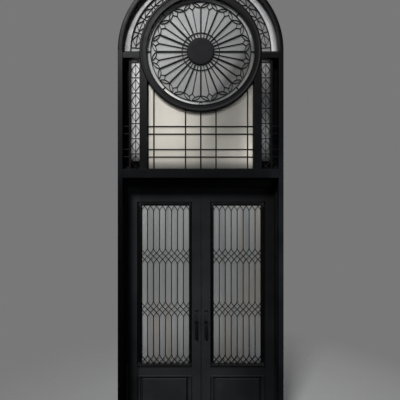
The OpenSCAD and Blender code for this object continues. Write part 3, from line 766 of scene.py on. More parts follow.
# wheel ring: raised outer lip, sunk flat band, low inner bead over the pane
s = Shape()
y = MY0
ring_prof = [(RRI, MY1), (RRI, y + 8), (RRI + 0.5, y + 3.6), (RRI + 1.8, y + 1.4), (RRI + 4.2, y + 0.6), (RRI + 6.6, y + 0.9),
             (RRI + 10, y + 1.7), (RRI + 14, y + 2.2), (RRI + 18, y + 2.3), (RRO - 35, y + 2.3), (RRO - 31.5, y + 2.0), (RRO - 26.5, y + 1.2),
             (RRO - 22.5, y + 0.5), (RRO - 19.5, y + 0.15), (RRO - 17, y), (RRO - 2.6, y + 0.3), (RRO - 0.8, y + 1.6), (RRO, y + 4), (RRO, MY1)]
s.lathe(ring_prof, WX, WZ, 200, closed=True)
piece("wheel_ring_moulded", s, "ring", "frame", ("wheel_ring",), sharp=35)

# ------------------------------------------------------------------ wheel window ironwork
HUB_R, COLLAR_R = 156, 210
RIM_R = 562
SPOKE_END, THIN_END = 496, 477
PETAL_TURN, PETAL_W = 10.2, 32

s = Shape()
hub = [(0, BY0 - 6.5), (60, BY0 - 6.8), (110, BY0 - 7.4), (HUB_R - 14, BY0 - 8), (HUB_R - 10.5, BY0 - 7.6), (HUB_R - 9, BY0 - 6),
       (HUB_R - 9, BY0 - 3), (HUB_R - 7.5, BY0 - 2), (HUB_R - 3, BY0 - 2), (HUB_R - 1.4, BY0 - 1.2), (HUB_R - 1, BY0), (HUB_R - 1, BY1), (0, BY1)]
s.lathe(hub, RX, RZ, 128)
piece("wheel_hub_disc", s, "hub", "frame", ("wheel_hub",), sharp=30)

s = Shape()
main_prof = bar_prof(17, BY0, BY1, 3.2, 2)
thin_prof = bar_prof(9.5, BY0 + 3, BY1, 3.0, 2)
for i in range(16):
    a = i * 22.5
    s.tube([polar(HUB_R - 4, a, RX, RZ), polar(SPOKE_END - 10, a, RX, RZ)], main_prof)
    # the main spoke narrows to a point between its two petals
    s.tube([polar(SPOKE_END - 10, a, RX, RZ), polar(SPOKE_END - 3, a, RX, RZ), polar(SPOKE_END + 4, a, RX, RZ)],
           bar_prof(13, BY0 + 0.5, BY1, 3.0, 2))
    b = a + 11.25
    s.tube([polar(HUB_R - 4, b, RX, RZ), polar(THIN_END, b, RX, RZ)], thin_prof)
    c = polar(THIN_END + 1, b, RX, RZ)
    s.dome(c[0], c[1], 8.5, BY1, 18, 12, 3)
s.tube(ring_path(COLLAR_R, RX, RZ, 96), bar_prof(9, BY0 + 0.6, BY1, 3.2, 2), closed=True)
piece("wheel_spokes_forged", s, "grille", "frame", ("wheel_spokes",))


def petal_pt(t, side):
    ax, az = SPOKE_END, 0.0
    bx, bz = polar(RIM_R - 7, PETAL_TURN)
    L = math.hypot(bx - ax, bz - az)
    ux, uz = (bx - ax) / L, (bz - az) / L
    k = side * PETAL_W * 2 * t * (1 - t)
    return (ax + (bx - ax) * t - uz * k, az + (bz - az) * t + ux * k)


s = Shape()
petal_prof = bar_prof(8, BY0 + 3.5, BY1, 3.2, 2)
tie_prof = bar_prof(7.5, BY0 + 4.5, BY1, 3.0, 2)
for i in range(16):
    for m in (-1, 1):
        for side in (-1, 1):
            path = [petal_pt(j / 10, side) for j in range(11)]
            s.tube([rot((x, z * m), i * 22.5, RX, RZ) for x, z in path], petal_prof)
        a = polar(THIN_END + 2, 11.25)
        b = petal_pt(0.6, 1)
        mid = ((a[0] + b[0]) / 2 + 1.5, (a[1] + b[1]) / 2 - 1.0)
        s.tube([rot((x, z * m), i * 22.5, RX, RZ) for x, z in (a, mid, b)], tie_prof)
        c = rot((b[0], b[1] * m), i * 22.5, RX, RZ)
        s.dome(c[0], c[1], 6.0, BY1, 15.5, 10, 3)
    c = polar(SPOKE_END + 1, i * 22.5, RX, RZ)
    s.dome(c[0], c[1], 9.5, BY1, 18.5, 12, 3)
piece("wheel_petals_forged", s, "grille", "frame", ("wheel_petals",))

s = Shape()
s.tube(ring_path(RIM_R, RX, RZ, 160), bar_prof(10, BY0 + 1.5, BY1, 3.2, 2), closed=True)
for a in (0, 45, 90, 135, 180, 225, 315):
    s.tube([polar(RIM_R, a, RX, RZ), polar(RRI + 1, a, RX, RZ)], bar_prof(12, BY0 + 3, BY1, 3.0, 2))
# the lowest tie is a small stirrup under a boss
for m in (-1, 1):
    s.tube([(RX + m * 8, RZ - RIM_R + 3), (RX + m * 12, RZ - RIM_R - 6), (RX + m * 13.5, RZ - RIM_R - 16),
            (RX + m * 13, RZ - RIM_R - 26), (RX + m * 11, WZ - RRI - 1)], bar_prof(7, BY0 + 3, BY1, 2.8, 2))
s.dome(RX, RZ - RIM_R, 12, BY1, 19, 14, 4)
piece("wheel_rim_forged", s, "grille", "frame", ("wheel_rim",))

# ------------------------------------------------------------------ arched border light
ARCH_CELLS, ARCH_START = 13, 3.5
ARCH_STEP = (180 - 2 * ARCH_START) / ARCH_CELLS
RDI = DIVR - DIVW / 2


def bent(t, u, v):
    a = t + math.degrees(u / ((RRO + RDI) / 2))
    return polar(RRO + 1 + (RDI - RRO - 2) * (v + 1) / 2, a, 0, AZ)


s = Shape()
div_prof = bar_prof(DIVW, BY0, BY1, 3.0, 2)
s.tube([(DIVR, SB1)] + ring_path(DIVR, 0, AZ, 120, 0, 180) + [(-DIVR, SB1)], div_prof)
piece("arch_divider_forged", s, "grille", "frame", ("arch_divider",))

s = Shape()
orn = bar_prof(7, BY0 + 7, BY1, 2.8, 2)
orn_thin = bar_prof(6, BY0 + 8, BY1, 2.4, 2)
orn_cross = bar_prof(8, BY0 + 6.5, BY1, 3.0, 2)
for k in range(ARCH_CELLS):
    t = ARCH_START + ARCH_STEP * (k + 0.5)
    for a in (-1, 1):
        for b in (-1, 1):
            s.tube([bent(t, a * DIAMOND_H * (1 - i / 6), b * i / 6 * 0.97) for i in range(7)], orn)
        c = bent(t, a * DIAMOND_H, 0)
        s.dome(c[0], c[1], 7.5, BY1, 13.0, 12, 3)
        c = bent(t, 0, a * 0.93)
        s.dome(c[0], c[1], 5.5, BY1, 12.0, 10, 3)
    s.tube([bent(t, -CELL_H / 2 + CELL_H * i / 8, 0) for i in range(9)], orn_thin)
for k in range(ARCH_CELLS + 1):
    t = ARCH_START + ARCH_STEP * k
    s.tube([polar(RRO - 1, t, 0, AZ), polar(RDI + 1, t, 0, AZ)], orn_cross)
piece("arch_ornament_forged", s, "grille", "frame", ("arch_ornament",))

# glazing gasket along the foot of the border light, between ring, divider and jamb
s = Shape()
gz = SB1 + 30
for x0, x1 in ((math.sqrt(RRO ** 2 - (AZ - SB1) ** 2), DIVR - DIVW / 2), (DIVR + DIVW / 2, RI)):
    for m in (-1, 1):
        pts = [(BY1, SB1), (BY1 - 12, SB1), (BY1 - 12, gz - 4), (BY1 - 10, gz - 1), (BY1 - 7, gz), (BY1, gz)]
        vv = [(m * x, yy, zz) for x in (x0, x1) for yy, zz in pts]
        n_p = len(pts)
        ff = [tuple(range(n_p)), tuple(range(2 * n_p - 1, n_p - 1, -1))]
        ff += [(i, i + n_p, (i + 1) % n_p + n_p, (i + 1) % n_p) for i in range(n_p)]
        s.add(vv, ff)
piece("border_light_gasket", s, "rubber", "frame")

# ------------------------------------------------------------------ main light bars
s = Shape()


def ring_z(x):
    """Height where an upright at x meets the underside of the wheel ring."""
    return WZ - math.sqrt(max(0, (RRO + 1) ** 2 - (x - WX) ** 2)) + 3


def ring_x(z):
    d = WZ - z
    return math.sqrt(max(0, (RRO + 1) ** 2 - d * d)) if d < RRO else 0


up_prof = bar_prof(BAR_W, BY0, BY1, 3.4, 2)
lv_prof = bar_prof(BAR_W, BY0 + 1.2, BY1, 3.4, 2)
for sx in (-1, 1):
    for x in BAR_X:
        s.tube([(sx * x, TT), (sx * x, ring_z(sx * x))], up_prof)
s.tube([(0, TT), (0, ring_z(0))], bar_prof(BAR_W + 2, BY0, BY1, 3.6, 2))
for z in BAR_Z:
    s.tube([(-MI, z), (MI, z)], lv_prof)
piece("main_bars_forged", s, "grille", "frame", ("main_bars",))

# glazing bead round the main light, mitred at its foot and meeting the ring above
s = Shape()
BEAD = 11
bead_z = WZ - math.sqrt(RRO ** 2 - (MI - WX) ** 2)
bead_prof = [(-BEAD / 2, BY1), (-BEAD / 2, BY1 - 14), (-BEAD / 2 + 1.5, BY1 - 15.5), (0, BY1 - 15), (BEAD / 2 - 1.5, BY1 - 9), (BEAD / 2, BY1 - 7), (BEAD / 2, BY1)]
h = BEAD / 2
s.tube([(-MI + h, bead_z + 5), (-MI + h, TT + h), (MI - h, TT + h), (MI - h, bead_z + 5)], [(u, v) for u, v in bead_prof])
piece("main_light_bead", s, "frame", "frame")

# ------------------------------------------------------------------ side lights
SMID, SHALF = (SDI + MO) / 2, (SDI - MO) / 2


def side_shapes():
    bars, orns = Shape(), Shape()
    bars.box(SDI, SDO, BY0, DY0, TT, SB0)
    bars.box(MO, SDI, GY0, DY0, RZ0 - 10, RZ0)
    for z in BAR_Z:
        bars.tube([(SDO - 1, z), (RI, z)], bar_prof(BAR_W, BY0 + 1.2, BY1, 3.4, 2))
    for x0, x1 in ((MO, SDI), (SDO, RI)):
        v = [(x, yy, zz) for x in (x0, x1) for yy, zz in ((GY0 + 2, TT), (DY0, TT), (DY0, TT + 62), (GY0 + 2, TT + 1))]
        bars.add(v, [(0, 1, 2, 3), (7, 6, 5, 4), (0, 4, 5, 1), (1, 5, 6, 2), (2, 6, 7, 3), (3, 7, 4, 0)])
    w = SHALF - 1
    for k in range(7):
        z = CELLS_Z + CELL_H * (k + 0.5)
        for a in (-1, 1):
            for b in (-1, 1):
                orns.tube([(SMID, z + a * DIAMOND_H), (SMID + b * w * 0.97, z)], orn)
            orns.dome(SMID, z + a * (DIAMOND_H - 1), 7.0, BY1, 13.0, 12, 3)
            orns.dome(SMID + a * (w - 4), z, 5.5, BY1, 12.0, 10, 3)
        orns.tube([(SMID, z - CELL_H / 2), (SMID, z + CELL_H / 2)], orn_thin)
    for k in range(1, 8):
        z = CELLS_Z + CELL_H * k
        orns.tube([(MO, z), (SDI, z)], orn_cross)
    return bars, orns


br, onr = side_shapes()
piece("side_bars_steel", Shape().plus(br, flip_x(br)), "recess_shade", "frame", ("side_bars",), bevel=0.9, seg=1)
piece("side_ornament_forged", Shape().plus(onr, flip_x(onr)), "grille", "frame", ("side_ornament",))

for n_, m_ in (("wheel_glass", "wheel_glass"), ("main_glass", "main_glass"), ("arch_glass", "border_glass"),
               ("side_glass", "ribbon_glass"), ("strip_glass", "strip_glass")):
    keep(n_, m_, 0.8, 1)

# ================================================================== LEAVES
def bez(t, a, b, c, d):
    return a * (1 - t) ** 3 + 3 * b * t * (1 - t) ** 2 + 3 * c * t * t * (1 - t) + d * t ** 3


def strand(x, z, d):
    n = 16
    out = []
    for i in range(n + 1):
        t = i / n
        out.append((bez(t, x, x, x + d * 2 * PITCH, x + d * 2 * PITCH),
                    bez(t, z + BAND_H, z + BAND_H * 0.44, z - BAND_H * 0.44, z - BAND_H)))
    return out


def clip_path(path, x0, x1, z0, z1):
    """The run of a path that lies inside a box, cut at its sides."""
    runs, cur = [], []

    def inside(p):
        return x0 <= p[0] <= x1 and z0 <= p[1] <= z1

    def cut(p, q):
        lo, hi = 0.0, 1.0
        a_in = inside(p)
        for _ in range(24):
            m = (lo + hi) / 2
            r = (p[0] + (q[0] - p[0]) * m, p[1] + (q[1] - p[1]) * m)
            if inside(r) == a_in:
                lo = m
            else:
                hi = m
        return (p[0] + (q[0] - p[0]) * lo, p[1] + (q[1] - p[1]) * lo)

    for i, p in enumerate(path):
        if inside(p):
            if not cur and i > 0:
                cur.append(cut(path[i - 1], p) if not inside(path[i - 1]) else path[i - 1])
            cur.append(p)
        elif cur:
            cur.append(cut(path[i - 1], p))
            runs.append(cur)
            cur = []
    if cur:
        runs.append(cur)
    out = []
    for r in runs:
        q = [r[0]]
        for p in r[1:]:
            if math.hypot(p[0] - q[-1][0], p[1] - q[-1][1]) > 1.0:
                q.append(p)
        if len(q) > 1 and sum(math.hypot(q[i + 1][0] - q[i][0], q[i + 1][1] - q[i][1]) for i in range(len(q) - 1)) > 12:
            out.append(q)
    return out


def leaf_shapes():
    S = {}
    # grille: a bordered frame, upright bars, and two layers of strands that cross in the bands
    g = Shape()
    # section from the outer edge (0) to the lattice (1): flat fillet, quirk and a small bead
    prof = [(0, GR1), (0, GR0 + 2), (0.03, GR0 + 0.8), (0.08, GR0), (0.36, GR0), (0.42, GR0 + 1.0), (0.47, GR0 + 3.4), (0.58, GR0 + 3.7),
            (0.66, GR0 + 2.0), (0.75, GR0 + 1.2), (0.87, GR0 + 1.6), (0.95, GR0 + 3.2), (1, GR0 + 6), (1, GR1)]
    wm, wh, wz = GX0 - GB0, GB1 - GX1, 14
    k = len(prof)
    verts = []
    for sx, sz in ((0, 0), (1, 0), (1, 1), (0, 1)):
        for u, yy in prof:
            verts.append((GB0 + u * wm if sx == 0 else GB1 - u * wh, yy, GZ0 + u * wz if sz == 0 else GZ1 - u * wz))
    faces = [(i * k + m, i * k + (m + 1) % k, ((i + 1) % 4) * k + (m + 1) % k, ((i + 1) % 4) * k + m)
             for i in range(4) for m in range(k)]
    g.add(verts, faces)
    b0, b1 = GR0 + 3, GR0 + 12
    vert = bar_prof(9, b0, b1, 3.9, 3)
    st_a = bar_prof(8, b0, b1 - 1.5, 3.5, 3)
    st_b = bar_prof(8, b0 + 1.5, b1, 3.5, 3)
    xa, xb, za, zb = GX0 - 2, GX1 + 2, GZ0 + 11, GZ1 - 11
    for kk in range(-1, LANCETS):
        for z in BANDS:
            for run in clip_path(strand(GX0 + kk * PITCH, z, 1), xa, xb, za, zb):
                g.tube(run, st_a)
    for kk in range(1, LANCETS + 2):
        for z in BANDS:
            for run in clip_path(strand(GX0 + kk * PITCH, z, -1), xa, xb, za, zb):
                g.tube(run, st_b)
    for kk in range(LANCETS + 1):
        for j in range(len(BANDS) - 1):
            g.tube([(GX0 + kk * PITCH, BANDS[j] + BAND_H - 2), (GX0 + kk * PITCH, BANDS[j + 1] - BAND_H + 2)], vert)
    S["grille"] = g

    # sash: stepped steel frame with a rubber bead on the glass
    sa = Shape()
    y0, y1 = CY0 - 8, CY0 + 18
    wl, wr = CX0 - OX0, OX1 - CX1
    zb_, zt_ = CZ0 - GLZ0, GLZ1 - CZ1

    def uneven(prof_fn, shape, xo0, xo1, zo0, zo1, wx0, wx1, wz0, wz1):
        pr = prof_fn
        kk_ = len(pr)
        vv = []
        for sx, sz in ((0, 0), (1, 0), (1, 1), (0, 1)):
            for f, yy in pr:
                vv.append((xo0 + f * wx0 if sx == 0 else xo1 - f * wx1, yy, zo0 + f * wz0 if sz == 0 else zo1 - f * wz1))
        ff = [(i * kk_ + m, i * kk_ + (m + 1) % kk_, ((i + 1) % 4) * kk_ + (m + 1) % kk_, ((i + 1) % 4) * kk_ + m)
              for i in range(4) for m in range(kk_)]
        shape.add(vv, ff)

    uneven([(0, y1), (0, y0), (0.80, y0), (0.86, y0 + 1.2), (0.93, y0 + 5.0), (1.0, y0 + 6.5), (1.0, y1 - 6.5), (0.93, y1 - 5), (0.86, y1 - 1.2), (0.80, y1)],
           sa, OX0, OX1, GLZ0, GLZ1, wl, wr, zb_, zt_)
    S["sash"] = sa
    ru = Shape()
    for ya, yb_ in ((CY0 - 3.0, CY0 - 0.2), (CY1 + 3.0, CY1 + 0.2)):
        ru.frame(CX0 - 2, CX1 + 2, CZ0 - 2, CZ1 + 2, [(0, yb_), (0, ya), (4, ya), (6.5, yb_)])
    S["gasket"] = ru

    # panel: plate with a raised and fielded centre on both faces
    pn = Shape()

    def field(sgn):
        f = Shape()
        a = lambda d: LM + sgn * d
        rings = [(0, a(6)), (48, a(6)), (49.4, a(5.2)), (50.4, a(3.2)), (51.6, a(2.2)), (59.0, a(2.2)), (59.8, a(6.5)), (60.8, a(11.6)), (62.2, a(13.6)),
                 (64.5, a(14.2)), (67.0, a(14.8)), (67.8, a(17.6)), (69.0, a(19.3)), (71.0, a(20)), (160, a(20))]
        kq = len(rings)
        vv, ff = [], []
        for u, yy in rings:
            for sx, sz in ((0, 0), (1, 0), (1, 1), (0, 1)):
                uz = u * 0.68          # head and foot margins are narrower
                vv.append((OX0 + u if sx == 0 else OX1 - u, yy, PZ0 + uz if sz == 0 else PZ1 - uz))
        for q in range(kq - 1):
            for i in range(4):
                j = (i + 1) % 4
                ff.append((q * 4 + i, q * 4 + j, (q + 1) * 4 + j, (q + 1) * 4 + i))
        ff.append(tuple((kq - 1) * 4 + i for i in range(4)))
        return f.add(vv, ff), kq

    f1, kq = field(-1)
    f2, _ = field(1)
    n1 = len(f1.v)
    pn.add(f1.v + f2.v, f1.f + [tuple(i + n1 for i in f) for f in f2.f] +
           [(i, (i + 1) % 4, n1 + (i + 1) % 4, n1 + i) for i in range(4)])
    S["panel"] = pn

    # panel moulding: raised bead, then an ogee falling to the panel, mitred, on both faces
    mo = Shape()
    og = [(0, LM - 6), (0, LY0 + 0.4), (0.03, LY0 - 1.2), (0.085, LY0 - 3.6), (0.15, LY0 - 5.4), (0.205, LY0 - 6.0), (0.26, LY0 - 5.5), (0.32, LY0 - 3.6),
          (0.38, LY0 - 1.2), (0.46, LY0 + 0.6), (0.58, LY0 + 1.8), (0.72, LY0 + 3.0), (0.84, LY0 + 5.4), (0.92, LY0 + 9.6), (0.97, LY0 + 14.5), (1.0, LY0 + 17.5), (1.0, LM - 6)]
    uneven(og, mo, OX0, OX1, PZ0, PZ1, 40, 40, 29, 29)
    mo.plus(back_copy(mo))
    S["moulding"] = mo

    # slim bead that closes the joint between the leaf's opening and the grille's border
    bd = Shape()
    bd.frame(OX0, OX1, GLZ0, GLZ1, [(0, GR1), (0, LY0 + 18), (0.8, LY0 + 17), (2.6, LY0 + 16.8), (3.8, LY0 + 17.8), (4.2, LY0 + 19), (4.2, GR1)])
    bk = Shape()
    yb0 = CY0 + 18
    bk.frame(OX0, OX1, GLZ0, GLZ1, [(0, yb0), (0, LY1 - 4), (2, LY1 - 2.8), (8, LY1 - 3.2), (12, LY1 - 5.5), (14, yb0 + 3), (14, yb0)])
    bd.plus(bk)
    S["opening_bead"] = bd

    # brush seal in the meeting edge
    se = Shape()
    se.box(LX0 - 5.8, LX0, LY0 + 5, LY0 + 18, LZ0 + 2, LZ1 - 2)
    S["seal"] = se
    return S


PX = LX0 + 51


def rounded_rect(cx, cz, w, h, r, n=5):
    out = []
    for (sx, sz, a0) in ((1, 1, 0), (-1, 1, 90), (-1, -1, 180), (1, -1, 270)):
        for i in range(n + 1):
            t = math.radians(a0 + 90 * i / n)
            out.append((cx + sx * (w / 2 - r) + r * math.cos(t), cz + sz * (h / 2 - r) + r * math.sin(t)))
    return out


def plate_shape(cx, cz, w, h, r, y_back, y_front, lip=2.2):
    """A plate with rounded corners and a softened, stepped edge."""
    sh = Shape()
    rings = [(0.0, y_back), (0.0, y_front + lip), (0.5, y_front + lip * 0.45), (lip * 0.6, y_front + lip * 0.12), (lip, y_front)]
    base = None
    vv, ff = [], []
    for ins, yy in rings:
        poly = rounded_rect(cx, cz, w - 2 * ins, h - 2 * ins, max(0.6, r - ins))
        base = len(poly)
        vv += [(x, yy, z) for x, z in poly]
    for q in range(len(rings) - 1):
        for i in range(base):
            j = (i + 1) % base
            ff.append((q * base + i, q * base + j, (q + 1) * base + j, (q + 1) * base + i))
    ff.append(tuple(range(base)))
    ff.append(tuple((len(rings) - 1) * base + i for i in range(base)))
    return sh.add(vv, ff)


def handle_face():
    """Dead bolt, plate and fixing screws on the leaf's outer face."""
    h = Shape()
    y = LY0
    # dead bolt: rose with a stepped edge and cylinder face
    h.lathe([(0, y), (21, y), (21, y - 3.5), (20, y - 5.2), (18.2, y - 6.0), (17.6, y - 7.4), (16.2, y - 8.2), (15, y - 8.4),
             (14.6, y - 11.6), (13.4, y - 12.8), (9.2, y - 13.0), (9.0, y - 12.2), (0, y - 12.2)], PX, 1295, 48)
    # plate
    h.plus(plate_shape(PX, 1107, 46, 318, 6, y, y - 4.2, 2.0))
    h.plus(plate_shape(PX, 1107, 36, 300, 5, y - 3.9, y - 6, 1.6))
    # fixing screws
    for z in (1256, 958):
        h.dome(PX, z, 4.4, y - 5.6, 1.6, 14, 3)
    return h


def handle_grip():
    """Thumb piece and grip, in front of the plate."""
    h = Shape()
    y = LY0
    # thumb piece: curved tongue
    n = 10
    top, bot = [], []
    for i in range(n + 1):
        t = i / n
        yy = y - 5 - 25 * t
        zz = 1172 - 5.0 * math.sin(t * PI * 0.55) + (4.0 * (t - 0.75) / 0.25 if t > 0.75 else 0)
        hw = 9 + 12 * min(1, t * 1.7) ** 0.8
        hw = hw if t < 0.9 else hw - 4 * (t - 0.9) / 0.1
        top.append((yy, zz, hw))
    vv, ff = [], []
    for yy, zz, hw in top:
        vv += [(PX - hw, yy, zz), (PX - hw * 0.9, yy, zz + 1.6), (PX, yy, zz + 2.2), (PX + hw * 0.9, yy, zz + 1.6), (PX + hw, yy, zz),
               (PX + hw * 0.9, yy, zz - 1.8), (PX, yy, zz - 2.4), (PX - hw * 0.9, yy, zz - 1.8)]
    for i in range(n):
        for k in range(8):
            k2 = (k + 1) % 8
            ff.append((i * 8 + k, i * 8 + k2, (i + 1) * 8 + k2, (i + 1) * 8 + k))
    ff.append(tuple(range(8)))
    ff.append(tuple(n * 8 + k for k in range(8)))
    h.add(vv, ff)
    # grip: two swelling posts carried over into a slim bowed bar
    pts, rad = [], []
    top_z, bot_z = 1140, 978
    out_y = y - 47
    for i in range(6):
        t = i / 5
        pts.append((PX, y - 5 - 24 * t, top_z))
        rad.append(8.6 - 2.2 * math.sin(t * PI * 0.5))
    for i in range(1, 7):
        t = i / 7 * PI / 2
        pts.append((PX, y - 29 - 18 * math.sin(t), top_z - 16 * (1 - math.cos(t))))
        rad.append(6.6)
    m = 14
    for i in range(m + 1):
        t = i / m
        z = top_z - 16 - (top_z - bot_z - 32) * t
        pts.append((PX, out_y - 1.5 * math.sin(t * PI), z))
        rad.append(6.6 + 2.6 * math.sin(t * PI))
    for i in range(6, 0, -1):
        t = i / 7 * PI / 2
        pts.append((PX, y - 29 - 18 * math.sin(t), bot_z + 16 * (1 - math.cos(t))))
        rad.append(6.6)
    for i in range(5, -1, -1):
        t = i / 5
        pts.append((PX, y - 5 - 24 * t, bot_z))
        rad.append(8.6 - 2.2 * math.sin(t * PI * 0.5))
    h.pipe(pts, rad, 16)
    for z in (top_z, bot_z):
        h.lathe([(0, y - 5.5), (12, y - 5.5), (12, y - 8.0), (10.8, y - 9.6), (9.0, y - 10.4), (0, y - 10.4)], PX, z, 28)
    return h


def keyway():
    k = Shape()
    y = LY0 - 12.2
    k.box(PX - 1.3, PX + 1.3, y - 0.35, y + 0.2, 1295 - 6.5, 1295 + 5.0)
    k.lathe([(0, y - 0.35), (2.8, y - 0.35), (2.8, y + 0.2), (0, y + 0.2)], PX, 1298, 18)
    return k


L = leaf_shapes()
HF, HG, KW = handle_face(), handle_grip(), keyway()
for side, body in (("right", "right_leaf"), ("left", "left_leaf")):
    fx = (lambda q: q) if side == "right" else flip_x
    for n_ in ("hinge_stile", "meeting_stile", "rails"):
        keep(f"{side}_{n_}", "leaf", 1.6)
    keep(f"{side}_glass", "leaf_glass", 0)
    keep(f"{side}_hinges", "bronze", 0.5)
    piece(f"{side}_grille_forged", fx(L["grille"]), "lattice", body, (f"{side}_grille",), sharp=40)
    piece(f"{side}_sash_frame", fx(L["sash"]), "sash", body, (f"{side}_sash",), sharp=30)
    piece(f"{side}_glass_gasket", fx(L["gasket"]), "rubber", body)
    piece(f"{side}_panel_fielded", fx(L["panel"]), "field", body, (f"{side}_panel",), sharp=22)
    piece(f"{side}_panel_moulding", fx(L["moulding"]), "moulding", body, (f"{side}_moulding",), sharp=40)
    piece(f"{side}_opening_bead", fx(L["opening_bead"]), "leaf", body, sharp=35)
    piece(f"{side}_meeting_seal", fx(L["seal"]), "brush", body, bevel=0.8)
    hs = Shape().plus(HF, back_copy(HF))
    piece(f"{side}_handle_plate", fx(hs), "plate", body, (f"{side}_handle",), sharp=40)
    hg = Shape().plus(HG, back_copy(HG))
    piece(f"{side}_handle_grip", fx(hg), "bronze", body, sharp=40)
    ks = Shape().plus(KW, back_copy(KW))
    piece(f"{side}_handle_keyways", fx(ks), "rubber", body)
    # hinge leaf screws
    sc = Shape()
    for z in HZ:
        for dx in (-48, -24):
            for dz in (-16, 16):
                b = Shape()
                b.lathe([(0, LY1 + 3.6), (4.2, LY1 + 3.6), (4.2, LY1 + 4.5), (3.2, LY1 + 5.3), (0, LY1 + 5.6)], HX + dx, z + dz, 16)
                sc.plus(b)
    piece(f"{side}_hinge_screws", fx(sc), "bronze", body)

# pin finials and plate screws on the frame's hinges
fi = Shape()
for z in HZ:
    for m in (-1, 1):
        zz = z + m * 77
        fi.lathe([(0, zz - m * 1.0), (8.0, zz - m * 1.0), (8.0, zz + m * 0.6), (6.2, zz + m * 1.6), (4.6, zz + m * 3.0), (4.4, zz + m * 4.0), (5.8, zz + m * 6.0), (6.2, zz + m * 8.0),
                  (5.4, zz + m * 10.4), (3.2, zz + m * 12.0), (0, zz + m * 12.6)], HX, 0, 24, axis="z", cy=HY)
    for dz in (-56, -20, 20, 56):
        b = Shape()
        b.lathe([(0, YB + 4.6), (4.2, YB + 4.6), (4.2, YB + 5.5), (3.2, YB + 6.3), (0, YB + 6.6)], HX + 30, z + dz, 16)
        fi.plus(b)
piece("frame_hinge_finials", Shape().plus(fi, flip_x(fi)), "bronze", "frame")

# ================================================================== stage, light and camera
scene = bpy.context.scene


def stage_material(name, near, far_fade):
    m = bpy.data.materials.new(name)
    m.use_nodes = True
    nt = m.node_tree
    nt.nodes.clear()
    out = nt.nodes.new("ShaderNodeOutputMaterial")
    bs = nt.nodes.new("ShaderNodeBsdfPrincipled")
    tr = nt.nodes.new("ShaderNodeBsdfTransparent")
    mx = nt.nodes.new("ShaderNodeMixShader")
    tc = nt.nodes.new("ShaderNodeTexCoord")
    ln = nt.nodes.new("ShaderNodeVectorMath")
    ln.operation = "LENGTH"
    nt.links.new(tc.outputs["Object"], ln.inputs[0])
    fade = ramp(nt, ln.outputs["Value"], 0.0, 1.0, *far_fade)
    n = noise(nt, tc.outputs["Object"], 2.0, 4)
    col = mixc(nt, ramp(nt, n, 0, 1), tuple(c * 0.97 for c in near), near)
    # the floor keeps its tone to the eye but throws little light back up
    lpf = nt.nodes.new("ShaderNodeLightPath")
    dim = mixc(nt, lpf.outputs["Is Camera Ray"], (0.02, 0.02, 0.021), col)
    nt.links.new(dim, bs.inputs["Base Color"])
    bs.inputs["Roughness"].default_value = 0.9
    bs.inputs["Specular IOR Level"].default_value = 0.1
    nt.links.new(fade, mx.inputs[0])
    nt.links.new(bs.outputs[0], mx.inputs[1])
    nt.links.new(tr.outputs[0], mx.inputs[2])
    nt.links.new(mx.outputs[0], out.inputs[0])
    return m


me = bpy.data.meshes.new("studio_floor")
R = 9.0
me.from_pydata([(-R, -R, 0), (R, -R, 0), (R, R, 0), (-R, R, 0)], [], [(0, 1, 2, 3)])
floor = bpy.data.objects.new("studio_floor", me)
scene.collection.objects.link(floor)
floor.location = (0, 0, -0.001)
me.materials.append(stage_material("floor_pale", (0.30, 0.30, 0.30), (1.4, 3.6)))

world = bpy.data.worlds.new("studio")
scene.world = world
world.use_nodes = True
nt = world.node_tree
nt.nodes.clear()
wo = nt.nodes.new("ShaderNodeOutputWorld")
seen_bg = nt.nodes.new("ShaderNodeBackground")
pane_bg = nt.nodes.new("ShaderNodeBackground")
fill_bg = nt.nodes.new("ShaderNodeBackground")
mix1 = nt.nodes.new("ShaderNodeMixShader")
mix2 = nt.nodes.new("ShaderNodeMixShader")
lp = nt.nodes.new("ShaderNodeLightPath")
wtc = nt.nodes.new("ShaderNodeTexCoord")
wsp = nt.nodes.new("ShaderNodeSeparateXYZ")
nt.links.new(wtc.outputs["Generated"], wsp.inputs[0])
seen_bg.inputs[0].default_value = (0.188, 0.188, 0.188, 1)      # the plain grey surround
pane_bg.inputs[0].default_value = (0.80, 0.79, 0.77, 1)         # brighter, for transmission rays only: what the obscured panes pass on
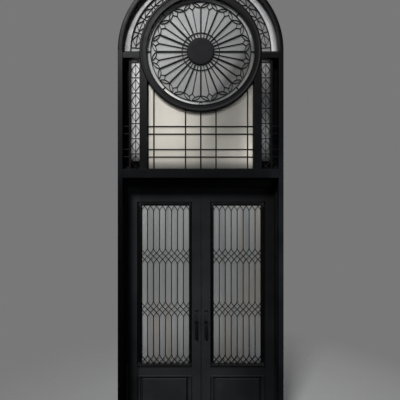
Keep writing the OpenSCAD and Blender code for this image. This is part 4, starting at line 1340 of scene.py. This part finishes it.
# a soft glow from the front right, dim elsewhere, as from a large studio wall
gx = ramp(nt, wsp.outputs[0], 0.0, 1.0, 0.06, 0.34)
gy = ramp(nt, wsp.outputs[1], 1.0, 0.0, -0.8, -0.2)
gz_ = ramp(nt, math2(nt, "ABSOLUTE", math2(nt, "ADD", wsp.outputs[2], 0.1)), 1.0, 0.15, 0.25, 0.65)
glow = math2(nt, "MULTIPLY", math2(nt, "MULTIPLY", gx, gy), gz_)
fill = math2(nt, "ADD", math2(nt, "MULTIPLY", glow, 0.6), 0.010)
comb = nt.nodes.new("ShaderNodeCombineColor")
for i, k in enumerate((0.95, 0.98, 1.06)):
    nt.links.new(math2(nt, "MULTIPLY", fill, k), comb.inputs[i])
nt.links.new(comb.outputs[0], fill_bg.inputs[0])
nt.links.new(lp.outputs["Is Transmission Ray"], mix1.inputs[0])
nt.links.new(fill_bg.outputs[0], mix1.inputs[1])
nt.links.new(pane_bg.outputs[0], mix1.inputs[2])
nt.links.new(lp.outputs["Is Camera Ray"], mix2.inputs[0])
nt.links.new(mix1.outputs[0], mix2.inputs[1])
nt.links.new(seen_bg.outputs[0], mix2.inputs[2])
nt.links.new(mix2.outputs[0], wo.inputs[0])


def area(name, loc, target, size, power, color=(1, 1, 1), size_y=None):
    d = bpy.data.lights.new(name, "AREA")
    d.energy = power
    d.color = color
    d.shape = "RECTANGLE" if size_y else "SQUARE"
    d.size = size
    if size_y:
        d.size_y = size_y
    o = bpy.data.objects.new(name, d)
    scene.collection.objects.link(o)
    o.location = loc
    o.rotation_euler = (Vector(target) - Vector(loc)).to_track_quat("-Z", "Y").to_euler()
    o.visible_camera = False
    return o


area("key", (-4.1, -12.0, 14.0), (0, -0.05, 2.6), 3.3, 3000, (0.985, 0.985, 0.99))
area("side_fill", (7.0, 0.0, 3.0), (0.92, 0.0, 2.6), 0.5, 260, (0.98, 0.99, 1.0), size_y=5.0)
area("back_fill", (2.6, 5.2, 4.4), (0, 0.1, 2.6), 2.2, 90, (0.97, 0.98, 1.0))

cam_d = bpy.data.cameras.new("camera")
cam_d.sensor_width = 36
cam_d.lens = 29.52
cam_d.shift_x = -0.0286
cam_d.shift_y = 0.04
cam_d.clip_end = 100
cam = bpy.data.objects.new("camera", cam_d)
scene.collection.objects.link(cam)
cam.location = (0.12, -3.78, 2.4016)
cam.rotation_euler = (math.radians(90), 0, 0)
scene.camera = cam
scene.view_settings.view_transform = "Standard"
scene.view_settings.look = "None"
